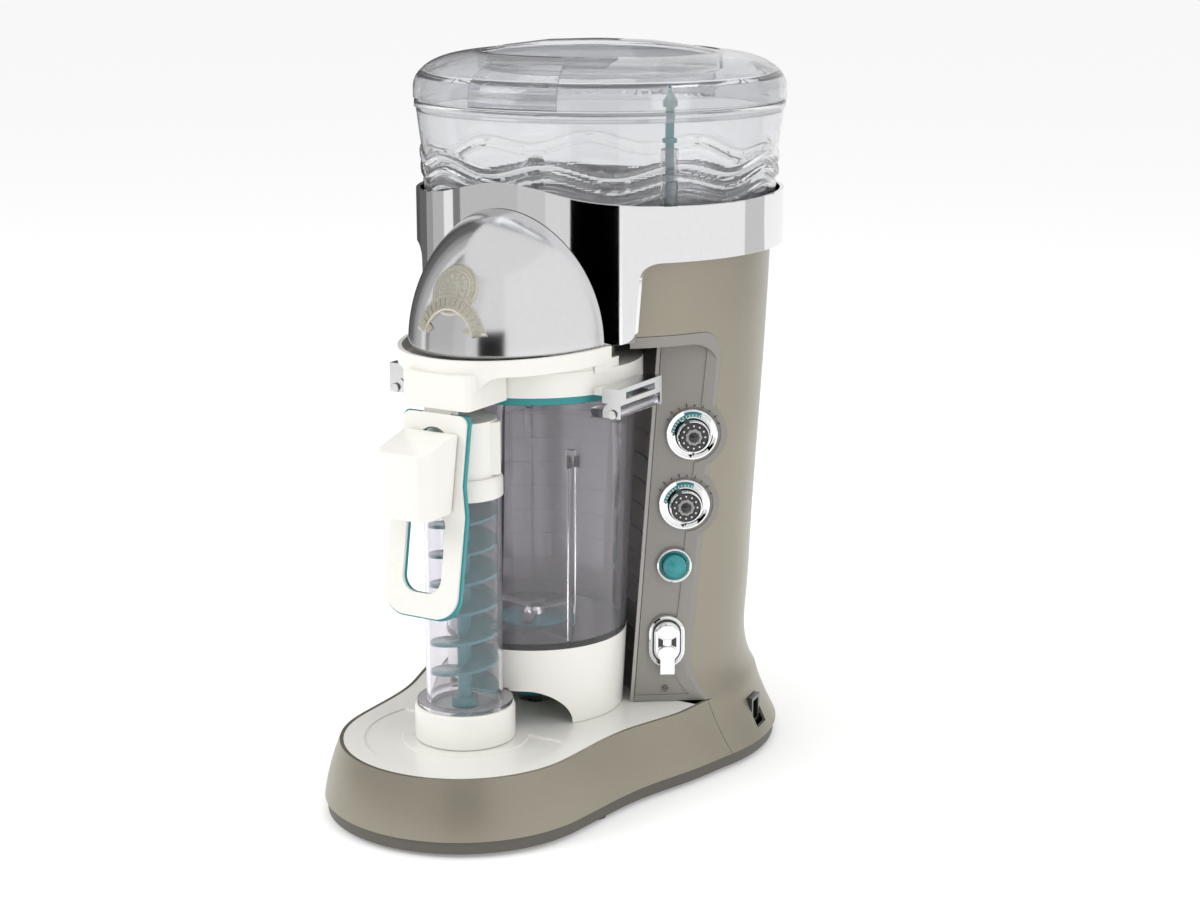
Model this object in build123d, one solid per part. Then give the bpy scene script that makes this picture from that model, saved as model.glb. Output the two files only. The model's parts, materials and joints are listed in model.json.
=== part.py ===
from build123d import *
import math
import os

# Countertop frozen-drink (slush) maker. Millimetres, +Z up, the front faces -Y.
# Origin: centre of the footprint, at the level of the surface that the machine stands on.

# ---------------------------------------------------------------- driving dimensions
RES_Y = 74.0          # axis of the ice reservoir, of the column and of the chrome collar
JAR_Y = -19.0         # axis of the blending jar and of its drive
AUG_Y = -110.0        # axis of the lifting auger and of the front of the base

BAND_TOP = 12.0       # top of the dark band at the foot of the base
DECK_Z = 51.6         # top of the white deck
WALL = 2.5            # moulded wall of the big housings
GAP = 0.4             # assembly gap between fixed covers
RUN = 0.05            # radial clearance of a running fit

CHEEK_ANGLE = 35.0    # the two cheeks beside the jar are turned this far from the front
CHEEK_X = 70.0        # a point of the cheek plane, at the edge of the jar bay
CHEEK_Y = 7.0
PANEL_T = 2.5         # thickness of the control panel and of the plain cover

BAY_TOP = 316.0       # the jar bay runs from the deck to here
CHIN_Z = 321.0        # underside of the head, just over the jar lid
COLUMN_TOP = 378.0
COLLAR_R = 133.0
COLLAR_LOW = 376.0    # lower edge of the chrome collar beside and behind
COLLAR_HIGH = 414.0   # upper edge of the chrome collar beside and behind
NECK_HALF = 87.0      # half-width of the neck that hangs from the collar in front

JAR_FLOOR = 108.0     # underside of the clear jar
JAR_TOP = 284.0       # rim of the clear jar
JAR_LOW_R = 66.0
JAR_HIGH_R = 73.0
LID_TOP = 306.0       # flat top of the jar lid
BAND_RISE = 321.0     # top of the lid's raised front band, under the dome
TUBE_R = 26.5         # clear tube round the auger
TUBE_TOP = 236.0

LEVER_TILT = 9.7      # the dispensing lever leans forward at its foot
LEVER_TOP_Z = 285.5
LEVER_FACE_Y = -141.0
LEVER_PIN_Y = -133.5
LEVER_PIN_Z = 293.0

PULLEY_LOW = 22.0     # belt drive under the deck
PULLEY_HIGH = 38.0
MOTOR_Y = 118.0       # blending motor in the foot of the column
SHAVE_MOTOR_Y = 134.0

PLUNGER_X = -66.0     # interlock plunger between lid flange and head
PLUNGER_Y = -2.0
ROD_X = 96.5          # interlock rod under the reservoir lid
ROD_Y = 2.0

CENTRE_LOW = (Align.CENTER, Align.CENTER, Align.MIN)
CENTRE_HIGH = (Align.CENTER, Align.CENTER, Align.MAX)
ALL = 200.0           # half-size of a cutting block that takes in the whole machine


# ---------------------------------------------------------------- shape helpers
def rod(r, low, high, x=0.0, y=0.0):
    return Pos(x, y, low) * Cylinder(r, high - low, align=CENTRE_LOW)


def ring(outer, inner, low, high, x=0.0, y=0.0):
    return rod(outer, low, high, x, y) - rod(inner, low - 1, high + 1, x, y)


def cone(r_low, r_high, low, high, x=0.0, y=0.0):
    return Pos(x, y, low) * Cone(r_low, r_high, high - low, align=CENTRE_LOW)


def block(x0, x1, y0, y1, z0, z1):
    centre = Pos((x0 + x1) / 2, (y0 + y1) / 2, (z0 + z1) / 2)
    return centre * Box(x1 - x0, y1 - y0, z1 - z0)


def turned(points, x=0.0, y=0.0):
    """Solid of revolution from a closed outline of (radius, height) corners."""
    corners = [(r, 0, z) for r, z in points]
    return Pos(x, y, 0) * revolve(make_face(Polyline(*corners, close=True)), Axis.Z)


def turned_smooth(curve, closing, x=0.0, y=0.0):
    """Solid of revolution whose outside is a spline and whose rest is straight."""
    outside = Spline(*[(r, 0, z) for r, z in curve])
    ends = [curve[-1], *closing, curve[0]]
    rest = Polyline(*[(r, 0, z) for r, z in ends])
    return Pos(x, y, 0) * revolve(make_face(outside + rest), Axis.Z)


def bars_on_circle(piece, count, x=0.0, y=0.0, start=0.0):
    """Copies of a piece drawn about the Z axis, spread evenly round a vertical axis."""
    step = 360.0 / count
    return [Pos(x, y, 0) * Rot(0, 0, start + i * step) * piece for i in range(count)]


def slab_outline(points, low, high):
    """Prism on a closed plan outline of straight runs."""
    plan = make_face(Polyline(*[(x, y, low) for x, y in points], close=True))
    return extrude(plan, high - low, dir=(0, 0, 1))


def face_of(*runs):
    """Face inside a closed outline made of several runs of edges."""
    return make_face([edge for run in runs for edge in run.edges()])


def mirrored(piece):
    return mirror(piece, about=Plane.YZ)


def solids_of(*pieces):
    """Compound of separate solids, for a node that groups equal fasteners."""
    return Compound([s for piece in pieces for s in piece.solids()])


# ---------------------------------------------------------------- plan of the foot
def foot_wire(level, front_r, rear_r, near_x, far_x, inset=0.0):
    """Closed plan outline: front arc, flank, rear arc, flank."""
    front = front_r - inset
    rear = rear_r - inset
    a = math.radians(7)
    b = math.radians(14)
    f = (front * math.cos(a), AUG_Y - front * math.sin(a))
    r = (rear * math.cos(b), RES_Y - rear * math.sin(b))
    near = (near_x - inset, -45.0)
    far = (far_x - inset, 5.0)
    tangents = [(math.sin(a), math.cos(a)), (math.sin(b), math.cos(b))]
    right = Spline(f, near, far, r, tangents=tangents)
    back = ThreePointArc(r, (0, RES_Y + rear), (-r[0], r[1]))
    left = mirror(right, about=Plane.YZ)
    nose = ThreePointArc((-f[0], f[1]), (0, AUG_Y - front), f)
    return Pos(0, 0, level) * Wire([*right.edges(), *back.edges(), *left.edges(), *nose.edges()])


# level, front radius, rear radius, flank half-width near the auger, and near the column
FOOT_LEVELS = (
    (BAND_TOP, 98.0, 134.0, 107.5, 122.0),
    (25.0, 95.6, 127.6, 104.0, 118.2),
    (38.0, 92.0, 122.2, 99.0, 113.6),
    (DECK_Z, 87.0, 118.0, 93.5, 108.8),
)


def foot_solid(inset):
    sections = [foot_wire(z, f, r, n, w, inset) for z, f, r, n, w in FOOT_LEVELS]
    return loft([make_face(s) for s in sections])


def parting_prism(front_side):
    """Half-space in front of or behind the joint between base skirt and column foot."""
    reach = 320.0
    top = (31.0, DECK_Z + 40.0)
    low = (47.0, -20.0)
    edge = -reach if front_side else reach
    slack = -GAP / 2 if front_side else GAP / 2
    corners = [(low[0] + slack, low[1]), (top[0] + slack, top[1]), (edge, top[1]), (edge, low[1])]
    face = make_face(Polyline(*[(-200, y, z) for y, z in corners], close=True))
    return extrude(face, 400, dir=(1, 0, 0))


# ---------------------------------------------------------------- cheeks and bay
COS_CHEEK = math.cos(math.radians(CHEEK_ANGLE))
SIN_CHEEK = math.sin(math.radians(CHEEK_ANGLE))
CHEEK_NORMAL = (SIN_CHEEK, -COS_CHEEK, 0)
CHEEK_ALONG = (COS_CHEEK, SIN_CHEEK, 0)


def cheek_point(along, height, proud=0.0):
    x = CHEEK_X + COS_CHEEK * along + SIN_CHEEK * proud
    y = CHEEK_Y + SIN_CHEEK * along - COS_CHEEK * proud
    return (x, y, height)


def on_cheek(along, height, proud=0.0):
    """Local frame on the right cheek: X along it, Y up, Z out of the face."""
    return Location(Plane(origin=cheek_point(along, height, proud), x_dir=CHEEK_ALONG, z_dir=CHEEK_NORMAL))


def before_cheeks(depth, low, high):
    """Everything in front of both cheek planes, each moved back by depth."""
    side = 220.0
    slope = SIN_CHEEK / COS_CHEEK
    apex = CHEEK_Y - CHEEK_X * slope + depth / COS_CHEEK
    back = apex + side * slope
    outline = [(-side, back), (0, apex), (side, back), (side, -400), (-side, -400)]
    return slab_outline(outline, low, high)


def bay_solid(grow, low, high):
    """The jar bay: a cone about the jar axis that widens upwards."""
    rate = 18.0 / (BAY_TOP - DECK_Z)
    start = 70.0 + grow + rate * (low - DECK_Z)
    end = 70.0 + grow + rate * (high - DECK_Z)
    return cone(start, end, low, high, 0, JAR_Y)


DIALS = ((38.5, 249.5), (33.5, 198.8))     # along the cheek, height
BUTTON = (26.5, 154.0)
ROCKER = (21.5, 97.5)
LAMP = (20.5, 61.5)
BOSS_R = 25.0
PIVOT_DEPTH = -5.0    # rocker pivot, behind the panel face

# radius and height of points on the column's waisted outside
COLUMN_CURVE = (
    (118.0, DECK_Z),
    (112.3, 64.0),
    (109.3, 80.0),
    (110.4, 110.0),
    (113.0, 165.0),
    (118.0, 254.0),
    (123.8, COLUMN_TOP),
)


def column_solid(inset):
    curve = [(r - inset, z) for r, z in COLUMN_CURVE]
    body = turned_smooth(curve, [(0, COLUMN_TOP), (0, DECK_Z)], 0, RES_Y)
    for along, height in DIALS:
        boss = on_cheek(along, height, 5.0) * Cylinder(BOSS_R - inset, 60, align=CENTRE_HIGH)
        body += boss & rod(129.0 - inset, DECK_Z, COLUMN_TOP, 0, RES_Y)
    return body


CHUTE_Y = -12.0
CHUTE_R = 33.0
CUT_ALONG = 57.4      # outer edge of the cut-outs at their upper corner, along the cheek
CUT_TOP = 324.0       # upper edge of the cut-outs
RIM_LOW = 316.0       # lower edge of the trim rim that lines them


def cutout(depth, top, corner):
    """Room that the cheek cut-outs take from the column, with a round upper outer corner."""
    room = before_cheeks(depth, DECK_Z - 1, top)
    along = CUT_ALONG - corner
    height = top - corner
    square = on_cheek(along + 40, height + 40, -20) * Box(80, 80, 120, align=CENTRE_LOW)
    disc = on_cheek(along, height, -21) * Cylinder(corner, 122, align=CENTRE_LOW)
    filler = square - disc
    return room - filler - mirrored(filler)


def make_shells():
    outer = column_solid(0)
    inner = column_solid(WALL)
    foot_out = foot_solid(0)
    foot_in = foot_solid(WALL)
    skirt_all = foot_out - foot_in
    # front skirt of the base
    skirt = skirt_all & parting_prism(True)
    # rear housing: the foot's back, the waisted column, and a top lip inside the collar
    wall = outer - inner - cutout(PANEL_T + GAP / 2, CUT_TOP, 14.0) - bay_solid(0, DECK_Z - 1, BAY_TOP)
    rear_foot = skirt_all & parting_prism(False)
    shell = wall + rear_foot
    shell -= rod(CHUTE_R + 2, BAY_TOP - 4, COLUMN_TOP + 1, 0, CHUTE_Y)
    shell -= on_inlet(9.0, 11.0)
    return skirt, shell, outer, inner


def on_inlet(half_w, half_h):
    """Recess for the mains inlet, low on the right of the rear housing."""
    x, y, z = 127.0, 92.0, 30.0
    return Pos(x, y, z) * Rot(0, 0, 8) * Box(24, 2 * half_w, 2 * half_h)


def make_base_pan():
    outer = extrude(make_face(foot_wire(3.0, 96.0, 132.0, 105.5, 120.0)), BAND_TOP - GAP - 3.0)
    inner = extrude(make_face(foot_wire(6.0, 96.0, 132.0, 105.5, 120.0, 3.0)), 20)
    pan = outer - inner
    for x, y in BASE_SCREWS:
        pan += rod(6.0, 5.5, BAND_TOP - GAP, x, y)
        pan -= rod(2.2, 2.0, 30.0, x, y)
    # seats for the lower drive bearing
    return pan + ring(16.0, 13.0, 5.5, 14.0, 0, JAR_Y)


BASE_SCREWS = ((66.0, -150.0), (-66.0, -150.0), (84.0, -20.0), (-84.0, -20.0), (78.0, 150.0), (-78.0, 150.0))
FEET = ((0.0, -188.0), (88.0, -84.0), (-88.0, -84.0), (82.0, 120.0), (-82.0, 120.0))


def make_deck():
    plate = extrude(make_face(foot_wire(DECK_Z - 3.0, 87.4, 118.4, 93.9, 109.2, WALL + GAP)), 3.0)
    plate -= block(-200, 200, 25.0, 300, 0, 100) - bay_solid(2.0, 40.0, 60.0)
    # boss underneath for the upper drive bearing
    plate += ring(16.0, 13.0, 41.0, DECK_Z - 3.0, 0, JAR_Y)
    plate -= rod(12.0, 47.6, 60, 0, JAR_Y) + rod(13.0, 40, 47.6, 0, JAR_Y)
    plate -= rod(11.0, 40, 60, 0, AUG_Y)
    # shallow horseshoe that catches drips round the auger foot
    groove = ring(70.0, 44.0, DECK_Z - 1.2, DECK_Z + 1, 0, AUG_Y) & block(-90, 90, -200, -88, 0, 100)
    return plate - groove


def make_cheek_covers(outer, inner):
    """Flat cheek with a trim rim that lies in the column's surface round the cut-out."""
    room = cutout(PANEL_T, CUT_TOP - GAP, 14.0 - GAP)
    cover = (outer & room) - before_cheeks(0, 40.0, 330.0)
    rim = (outer - inner) & (cutout(0.5, CUT_TOP - GAP, 14.0 - GAP) - cutout(20.0, RIM_LOW, 22.0))
    rim &= block(-200, 200, -200, 200, 250, 330)
    soffit = inner & cutout(0.5, CUT_TOP - GAP, 14.0 - GAP) & block(-200, 200, -200, 200, CUT_TOP - 2.8, 330)
    soffit -= block(-78.4, 78.4, -200, 200, 300, 330)
    rim -= block(-78.4, 78.4, -200, 200, 300, 330)
    cover -= bay_solid(WALL + GAP, DECK_Z - 1, BAY_TOP)
    cover -= block(-78.4, 78.4, -200, 200, BAY_TOP - 0.4, 330)
    cover &= block(-200, 200, -200, 200, DECK_Z + GAP, 330)
    # the face inside the rim is set back a little
    field = before_cheeks(0.9, DECK_Z - 1, RIM_LOW) & column_solid(4.4)
    field &= block(-ALL, ALL, -ALL, ALL, DECK_Z + 5, 330)
    field = field - before_cheeks(-5, 40, 330)
    cover = cover - (field & cutout(PANEL_T, RIM_LOW, 10.0)) + rim + soffit
    right = cover & block(30, 200, -200, 200, 0, 400)
    plain = cover & block(-200, -30, -200, 200, 0, 400)
    return right, plain


def make_bay_liner(inner):
    shell = bay_solid(WALL, DECK_Z + GAP, BAY_TOP) - bay_solid(0, DECK_Z, BAY_TOP + 1)
    shell -= before_cheeks(0, 40, 330)
    shell &= column_solid(WALL + GAP)
    # fine horizontal ribs on the wall behind the jar
    ribs = []
    for i in range(12):
        z = 80.0 + 18.0 * i
        ribs.append(bay_solid(0.3, z, z + 2.0) - bay_solid(-1.0, z - 0.5, z + 2.5))
    zone = block(-62, 62, 10, 90, 60, 310)
    for rib in ribs:
        shell += rib & zone & column_solid(WALL + GAP) - before_cheeks(3, 40, 330)
    return shell


# ---------------------------------------------------------------- head
def front_prism(points):
    """Prism along Y on an outline of (x, z) corners, from the column's middle forwards."""
    face = make_face(Polyline(*[(x, RES_Y, z) for x, z in points], close=True))
    return extrude(face, 240, dir=(0, -1, 0))


def make_collar():
    collar = ring(COLLAR_R, COLLAR_R - 3.0, CHIN_Z, 432.0, 0, RES_Y)
    # level upper edge behind, a low crest in front
    collar -= block(-200, 200, RES_Y, 300, COLLAR_HIGH, 500)
    crest = Spline((-140, RES_Y, COLLAR_HIGH), (-96, RES_Y, 414.5), (-52, RES_Y, 419.5), (0, RES_Y, 429.0),
                   (52, RES_Y, 419.5), (96, RES_Y, 414.5), (140, RES_Y, COLLAR_HIGH))
    over = Polyline((140, RES_Y, COLLAR_HIGH), (140, RES_Y, 460), (-140, RES_Y, 460),
                    (-140, RES_Y, COLLAR_HIGH))
    collar -= extrude(make_face(crest + over), 240, dir=(0, -1, 0))
    # lower edge level behind; in front the neck hangs down with round corners
    collar -= block(-200, 200, RES_Y, 300, 300, COLLAR_LOW)
    armpit = 11.0
    corner = 9.0
    bulge = math.sqrt(0.5)
    hip = NECK_HALF + 2 + armpit
    foot = NECK_HALF - corner
    outline = face_of(
        Line((160, RES_Y, COLLAR_LOW), (hip, RES_Y, COLLAR_LOW)),
        ThreePointArc((hip, RES_Y, COLLAR_LOW),
                      (hip - armpit * bulge, RES_Y, COLLAR_LOW - armpit * (1 - bulge)),
                      (hip - armpit, RES_Y, COLLAR_LOW - armpit)),
        Line((hip - armpit, RES_Y, COLLAR_LOW - armpit), (NECK_HALF, RES_Y, CHIN_Z + corner)),
        ThreePointArc((NECK_HALF, RES_Y, CHIN_Z + corner),
                      (foot + corner * bulge, RES_Y, CHIN_Z + corner * (1 - bulge)),
                      (foot, RES_Y, CHIN_Z)),
        Polyline((foot, RES_Y, CHIN_Z), (foot, RES_Y, 300), (160, RES_Y, 300), (160, RES_Y, COLLAR_LOW)),
    )
    cutter = extrude(outline, 240, dir=(0, -1, 0))
    collar -= cutter + mirrored(cutter)
    # inward lip that closes the gap to the column
    lip = ring(COLLAR_R - 1.0, 126.5, COLLAR_LOW, COLLAR_LOW + 2.0, 0, RES_Y)
    lip -= front_prism([(-104, 300), (104, 300), (104, 400), (-104, 400)])
    return collar + lip


def make_head_frame():
    inside = COLLAR_R - 3.0 - GAP
    disc = rod(inside, COLUMN_TOP + GAP, 383.0, 0, RES_Y)
    disc -= rod(11.0, 370, 390, 0, RES_Y)
    neck_zone = front_prism([(-84, CHIN_Z), (84, CHIN_Z), (84, COLUMN_TOP + 2), (-84, COLUMN_TOP + 2)])
    drum = rod(inside, CHIN_Z, 383.0, 0, RES_Y) - column_room()
    chin = drum & neck_zone & block(-78, 78, -200, 200, CHIN_Z, CHIN_Z + 2.6)
    sides = (drum - rod(inside - 2.5, CHIN_Z - 1, 400, 0, RES_Y)) & neck_zone
    flue = ring(CHUTE_R, CHUTE_R - 2.5, 318.0, 382.0, 0, CHUTE_Y)
    frame = disc + chin + sides + flue
    frame -= rod(CHUTE_R - 2.5, 300, 400, 0, CHUTE_Y)
    frame -= rod(4.6, 300, 340, PLUNGER_X, PLUNGER_Y)
    frame -= rod(6.4, 324.1, 345, PLUNGER_X, PLUNGER_Y)
    frame -= rod(2.0, 370, 390, ROD_X, ROD_Y)
    return frame


def column_room():
    """The column's room below the head disc, with an assembly gap."""
    return rod(200, CHIN_Z - 2, COLUMN_TOP + GAP, 0, RES_Y) - before_cheeks(-GAP, CHIN_Z - 3, COLUMN_TOP + 2)


# ---------------------------------------------------------------- ice reservoir and its lid
RES_CURVE = ((119.0, 388.0), (125.0, 394.0), (126.0, 419.0), (127.0, 433.0), (130.0, 454.0), (132.0, 470.0))
RES_RIM = 477.0


def make_reservoir():
    outer = turned_smooth(RES_CURVE, [(132.0, RES_RIM), (0, RES_RIM), (0, 388.0)], 0, RES_Y)
    inside = [(r - WALL, z) for r, z in RES_CURVE[1:]]
    hollow = turned_smooth(inside, [(129.5, RES_RIM + 1), (0, RES_RIM + 1), (0, 394.0)], 0, RES_Y)
    body = outer - hollow
    body += ring(133.4, 130.5, 472.0, RES_RIM, 0, RES_Y)
    # moulded waves round the foot of the clear wall, where it meets the collar
    for z in (421.0, 431.0):
        body += turned([(125.2, z - 3), (128.4, z), (125.8, z + 3)], 0, RES_Y)
    body -= rod(14.0, 380, 400, 0, RES_Y)
    # outlet over the chute
    body -= rod(CHUTE_R - 4, 380, 400, 0, CHUTE_Y)
    # recess in the floor for the shaving plate
    body -= rod(110.0, 392.0, 400, 0, RES_Y)
    # guide for the interlock rod
    body += ring(6.0, 3.3, 392.0, 452.0, ROD_X, ROD_Y) - rod(118.0, 380, 400, 0, RES_Y)
    body -= rod(3.3, 380, 453, ROD_X, ROD_Y)
    return body


def make_shave_plate():
    plate = rod(109.5, 392.0, 393.5, 0, RES_Y) - rod(10.0, 390, 400, 0, RES_Y)
    # blade slot over the outlet, with the raised cutting edge beside it
    slot = block(-3.0, 3.0, CHUTE_Y - 16, CHUTE_Y + 22, 390, 396)
    blade = block(3.0, 7.0, CHUTE_Y - 16, CHUTE_Y + 22, 393.5, 395.0)
    return plate - slot + blade


def make_paddle():
    hub = turned([(0, 396), (13, 396), (13, 402), (8, 418), (0, 424)], 0, RES_Y)
    arm = block(8, 106, -3, 3, 396, 406) + block(92, 106, -3, 3, 400, 424)
    paddle = hub
    for copy in bars_on_circle(arm, 3, 0, RES_Y, 30):
        paddle += copy
    return paddle - make_hex_bore()


def make_hex_bore():
    return Pos(0, RES_Y, 395) * extrude(RegularPolygon(4.6, 6), 17)


def make_shave_shaft():
    shaft = rod(5.0, 374.0, 396.0, 0, RES_Y) + rod(9.0, 384.0, 387.5, 0, RES_Y)
    tip = Pos(0, RES_Y, 396) * extrude(RegularPolygon(4.5, 6), 14)
    return shaft + tip


LID_CURVE = ((134.0, 486.5), (132.8, 491.5), (127.0, 499.0), (113.0, 506.5), (71.0, 513.5))


def make_reservoir_lid():
    outer = turned_smooth(LID_CURVE, [(40.0, 517.5), (0, 519.0), (0, 478.0), (134.0, 478.0)], 0, RES_Y)
    inside = [(r - WALL, z - 1.4) for r, z in LID_CURVE]
    hollow = turned_smooth(inside, [(40.0, 514.8), (0, 516.2), (0, 477.0), (134.0 - WALL, 477.0)], 0, RES_Y)
    lid = outer - hollow
    # two finger wells that leave a grip bar across the middle
    well = rod(88.0, 496.0, 530.0) - block(-120, 120, -9, 9, 480, 540)
    pocket = rod(85.5, 498.5, 530.0) - block(-120, 120, -11.5, 11.5, 480, 540)
    turn = Pos(0, RES_Y, 0) * Rot(0, 0, 20)
    lid += (turn * well) & outer
    lid -= turn * pocket
    # inner skirt that centres the lid in the reservoir
    skirt = ring(128.6, 126.6, 470.0, 505.0, 0, RES_Y)
    return lid + (skirt & (outer + rod(130.0, 460.0, 480.0, 0, RES_Y)))


def make_interlock_rod():
    stem = rod(3.0, 388.4, 480.0, ROD_X, ROD_Y)
    head = turned([(0, 480), (5, 480), (5, 484), (0, 492)], ROD_X, ROD_Y)
    collar = rod(5.0, 456.0, 459.0, ROD_X, ROD_Y)
    return stem + head + collar


# ---------------------------------------------------------------- jar, its skirt and its blades
def jar_radius(z):
    share = (z - JAR_FLOOR) / (JAR_TOP - JAR_FLOOR)
    return JAR_LOW_R + (JAR_HIGH_R - JAR_LOW_R) * share


SCOOP_R = 28.5            # hollow in the jar's front that clears the auger column
LUG_Y = (-57.0, -5.0)     # jar lugs that carry the clips, front and rear end
CLIP_X = 88.8
CLIP_Z = 279.0


def make_jar():
    outer = cone(JAR_LOW_R, JAR_HIGH_R, JAR_FLOOR, JAR_TOP, 0, JAR_Y)
    outer += rod(75.5, JAR_TOP - 4, JAR_TOP, 0, JAR_Y)
    outer -= rod(SCOOP_R, JAR_FLOOR - 1, JAR_TOP + 1, 0, AUG_Y)
    inner_floor = JAR_FLOOR + 4
    hollow = cone(jar_radius(inner_floor) - WALL, JAR_HIGH_R - WALL, inner_floor, JAR_TOP + 0.01, 0, JAR_Y)
    hollow -= rod(SCOOP_R + WALL, JAR_FLOOR - 1, JAR_TOP + 1, 0, AUG_Y)
    jar = outer - hollow
    # moulded mixing ribs down the inside of the wall
    rib = rod(3.2, JAR_FLOOR + 3, JAR_TOP - 34)
    for angle in (-55, 55, 145, -145):
        a = math.radians(angle)
        r = JAR_LOW_R - WALL + 2.0
        lean = Pos(r * math.sin(a), JAR_Y - r * math.cos(a), 0) * rib
        jar += lean & cone(JAR_LOW_R - 1, JAR_HIGH_R - 1, JAR_FLOOR + 3, JAR_TOP, 0, JAR_Y)
    # feed port to the auger tube
    jar -= block(-9, 9, -86, -74, JAR_FLOOR + 6, JAR_FLOOR + 26)
    jar -= rod(14.2, JAR_FLOOR - 1, JAR_FLOOR + 5, 0, JAR_Y)
    # side lugs for the clips
    for side in (1, -1):
        low, high = sorted((side * 70.0, side * 86.0))
        lug = block(low, high, *LUG_Y, 275.0, 281.0) - cone(65, 72, JAR_FLOOR, JAR_TOP, 0, JAR_Y)
        front = Pos(side * CLIP_X, LUG_Y[0], CLIP_Z) * Rot(-90, 0, 0)
        nose = front * Cylinder(4.2, LUG_Y[1] - LUG_Y[0], align=CENTRE_LOW)
        jar += lug + nose
        jar -= Pos(side * CLIP_X, LUG_Y[0] - 1, CLIP_Z) * Rot(-90, 0, 0) * Cylinder(1.6, 60, align=CENTRE_LOW)
    return jar


def make_clip_pins():
    pins = []
    for side in (1, -1):
        front = Pos(side * CLIP_X, LUG_Y[0] - 4.0, CLIP_Z) * Rot(-90, 0, 0)
        pin = front * Cylinder(1.55, LUG_Y[1] - LUG_Y[0] + 7.2, align=CENTRE_LOW)
        head = front * Pos(0, 0, -1.2) * Cylinder(3.2, 1.2, align=CENTRE_LOW)
        tail = front * Pos(0, 0, LUG_Y[1] - LUG_Y[0] + 7.2) * Cylinder(2.6, 1.0, align=CENTRE_LOW)
        pins.append(pin + head + tail)
    return solids_of(*pins)


def make_clip(side):
    """Sheet-metal bail: two ears on the pin, a slotted web and a lip over the lid's ledge."""
    ears = block(80.5, 94.0, LUG_Y[0] - 3.2, LUG_Y[0] - 1.4, 276.0, 296.5)
    ears += block(80.5, 94.0, LUG_Y[1] + 1.4, LUG_Y[1] + 3.2, 276.0, 296.5)
    pin_line = Pos(CLIP_X, -80, CLIP_Z) * Rot(-90, 0, 0)
    ears &= block(0, 200, -80, 10, 286, 300) + pin_line * Cylinder(8.0, 90, align=CENTRE_LOW)
    web = block(92.4, 94.0, LUG_Y[0] - 3.2, LUG_Y[1] + 3.2, 285.0, 296.5)
    web -= block(90, 96, LUG_Y[0] + 6, LUG_Y[1] - 6, 288.5, 293.0)
    lip = block(80.5, 94.0, LUG_Y[0] - 3.2, LUG_Y[1] + 3.2, 294.9, 296.5)
    clip = ears + web + lip
    clip -= pin_line * Cylinder(1.55 + RUN, 90, align=CENTRE_LOW)
    return clip if side > 0 else mirrored(clip)


def make_jar_skirt():
    low_r, high_r = 63.6, 66.5
    skirt = cone(low_r, high_r, DECK_Z + 0.3, JAR_FLOOR, 0, JAR_Y)
    skirt -= cone(low_r - 3, high_r - 3, DECK_Z, JAR_FLOOR + 1, 0, JAR_Y)
    skirt += ring(high_r - 1, 20.0, JAR_FLOOR - 5, JAR_FLOOR, 0, JAR_Y)
    arch = Rectangle(106, 60)
    arch = Plane.XZ * Pos(0, DECK_Z + 26.0 - 30.0) * fillet(arch.vertices(), 24)
    skirt -= Pos(0, JAR_Y, 0) * extrude(arch, 100)
    back = Plane.XZ * Pos(0, DECK_Z + 22.0 - 30.0) * fillet(Rectangle(84, 60).vertices(), 20)
    skirt -= Pos(0, JAR_Y, 0) * extrude(back, -100)
    skirt -= rod(TUBE_R + 0.6, DECK_Z, JAR_FLOOR + 1, 0, AUG_Y)
    # room for the flange at the foot of the auger tube
    return skirt - rod(33.6, 75.5, 79.6, 0, AUG_Y)


def make_blade_nut():
    nut = turned([(9.0, 58), (17.0, 58), (18.5, 62), (18.5, 74), (16.0, 78), (16.0, JAR_FLOOR - 5.2),
                  (13.8, JAR_FLOOR - 5.2), (13.8, JAR_FLOOR + 4),
                  (24, JAR_FLOOR + 4.2), (24, JAR_FLOOR + 6.5),
                  (8.0, JAR_FLOOR + 8), (5.2, JAR_FLOOR + 8), (5.2, 80), (9.0, 76)], 0, JAR_Y)
    notch = Pos(18.6, 0, 60) * Cylinder(1.0, 18, align=CENTRE_LOW)
    for cut in bars_on_circle(notch, 24, 0, JAR_Y):
        nut -= cut
    return nut


def make_blades():
    top = JAR_FLOOR + 8.4
    hub = rod(5.0, 74.0, top, 0, JAR_Y) + turned([(0, top), (8, top), (7, top + 5), (0, top + 8)], 0, JAR_Y)
    blade = Rot(0, -16, 0) * block(4, 30, -5, 5, -0.8, 0.8)
    wing = Pos(0, 0, top + 2.4) * blade & block(5, 32, -6, 6, 0, 200)
    low = Pos(0, 0, top + 2.6) * Rot(0, 5, 0) * block(4, 27, -4, 4, -0.8, 0.8) & block(5, 32, -6, 6, 0, 200)
    rotor = hub
    for copy in bars_on_circle(wing, 2, 0, JAR_Y, 20) + bars_on_circle(low, 2, 0, JAR_Y, 110):
        rotor += copy
    # dog socket that drops over the drive spindle
    socket = rod(8.6, 60.5, 75.5, 0, JAR_Y) - Pos(0, JAR_Y, 60) * extrude(RegularPolygon(6.6, 6), 11)
    return rotor + socket


# ---------------------------------------------------------------- auger column and spout
AUGER_LOW = 86.0
AUGER_PITCH = 20.8
AUGER_TURNS = 6.8


def make_auger_tube():
    tube = ring(TUBE_R, TUBE_R - WALL, 76.2, TUBE_TOP, 0, AUG_Y)
    tube += ring(33.0, TUBE_R - 1, 76.2, 79.0, 0, AUG_Y)
    duct = block(-11.5, 11.5, -95, -78, JAR_FLOOR + 3.5, JAR_FLOOR + 28.5)
    duct -= rod(TUBE_R - 1, 70, 200, 0, AUG_Y)
    duct &= rod(SCOOP_R - 0.2, 70, 200, 0, AUG_Y)
    tube += duct
    return tube - block(-9, 9, -96, -76, JAR_FLOOR + 6, JAR_FLOOR + 26)


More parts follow.
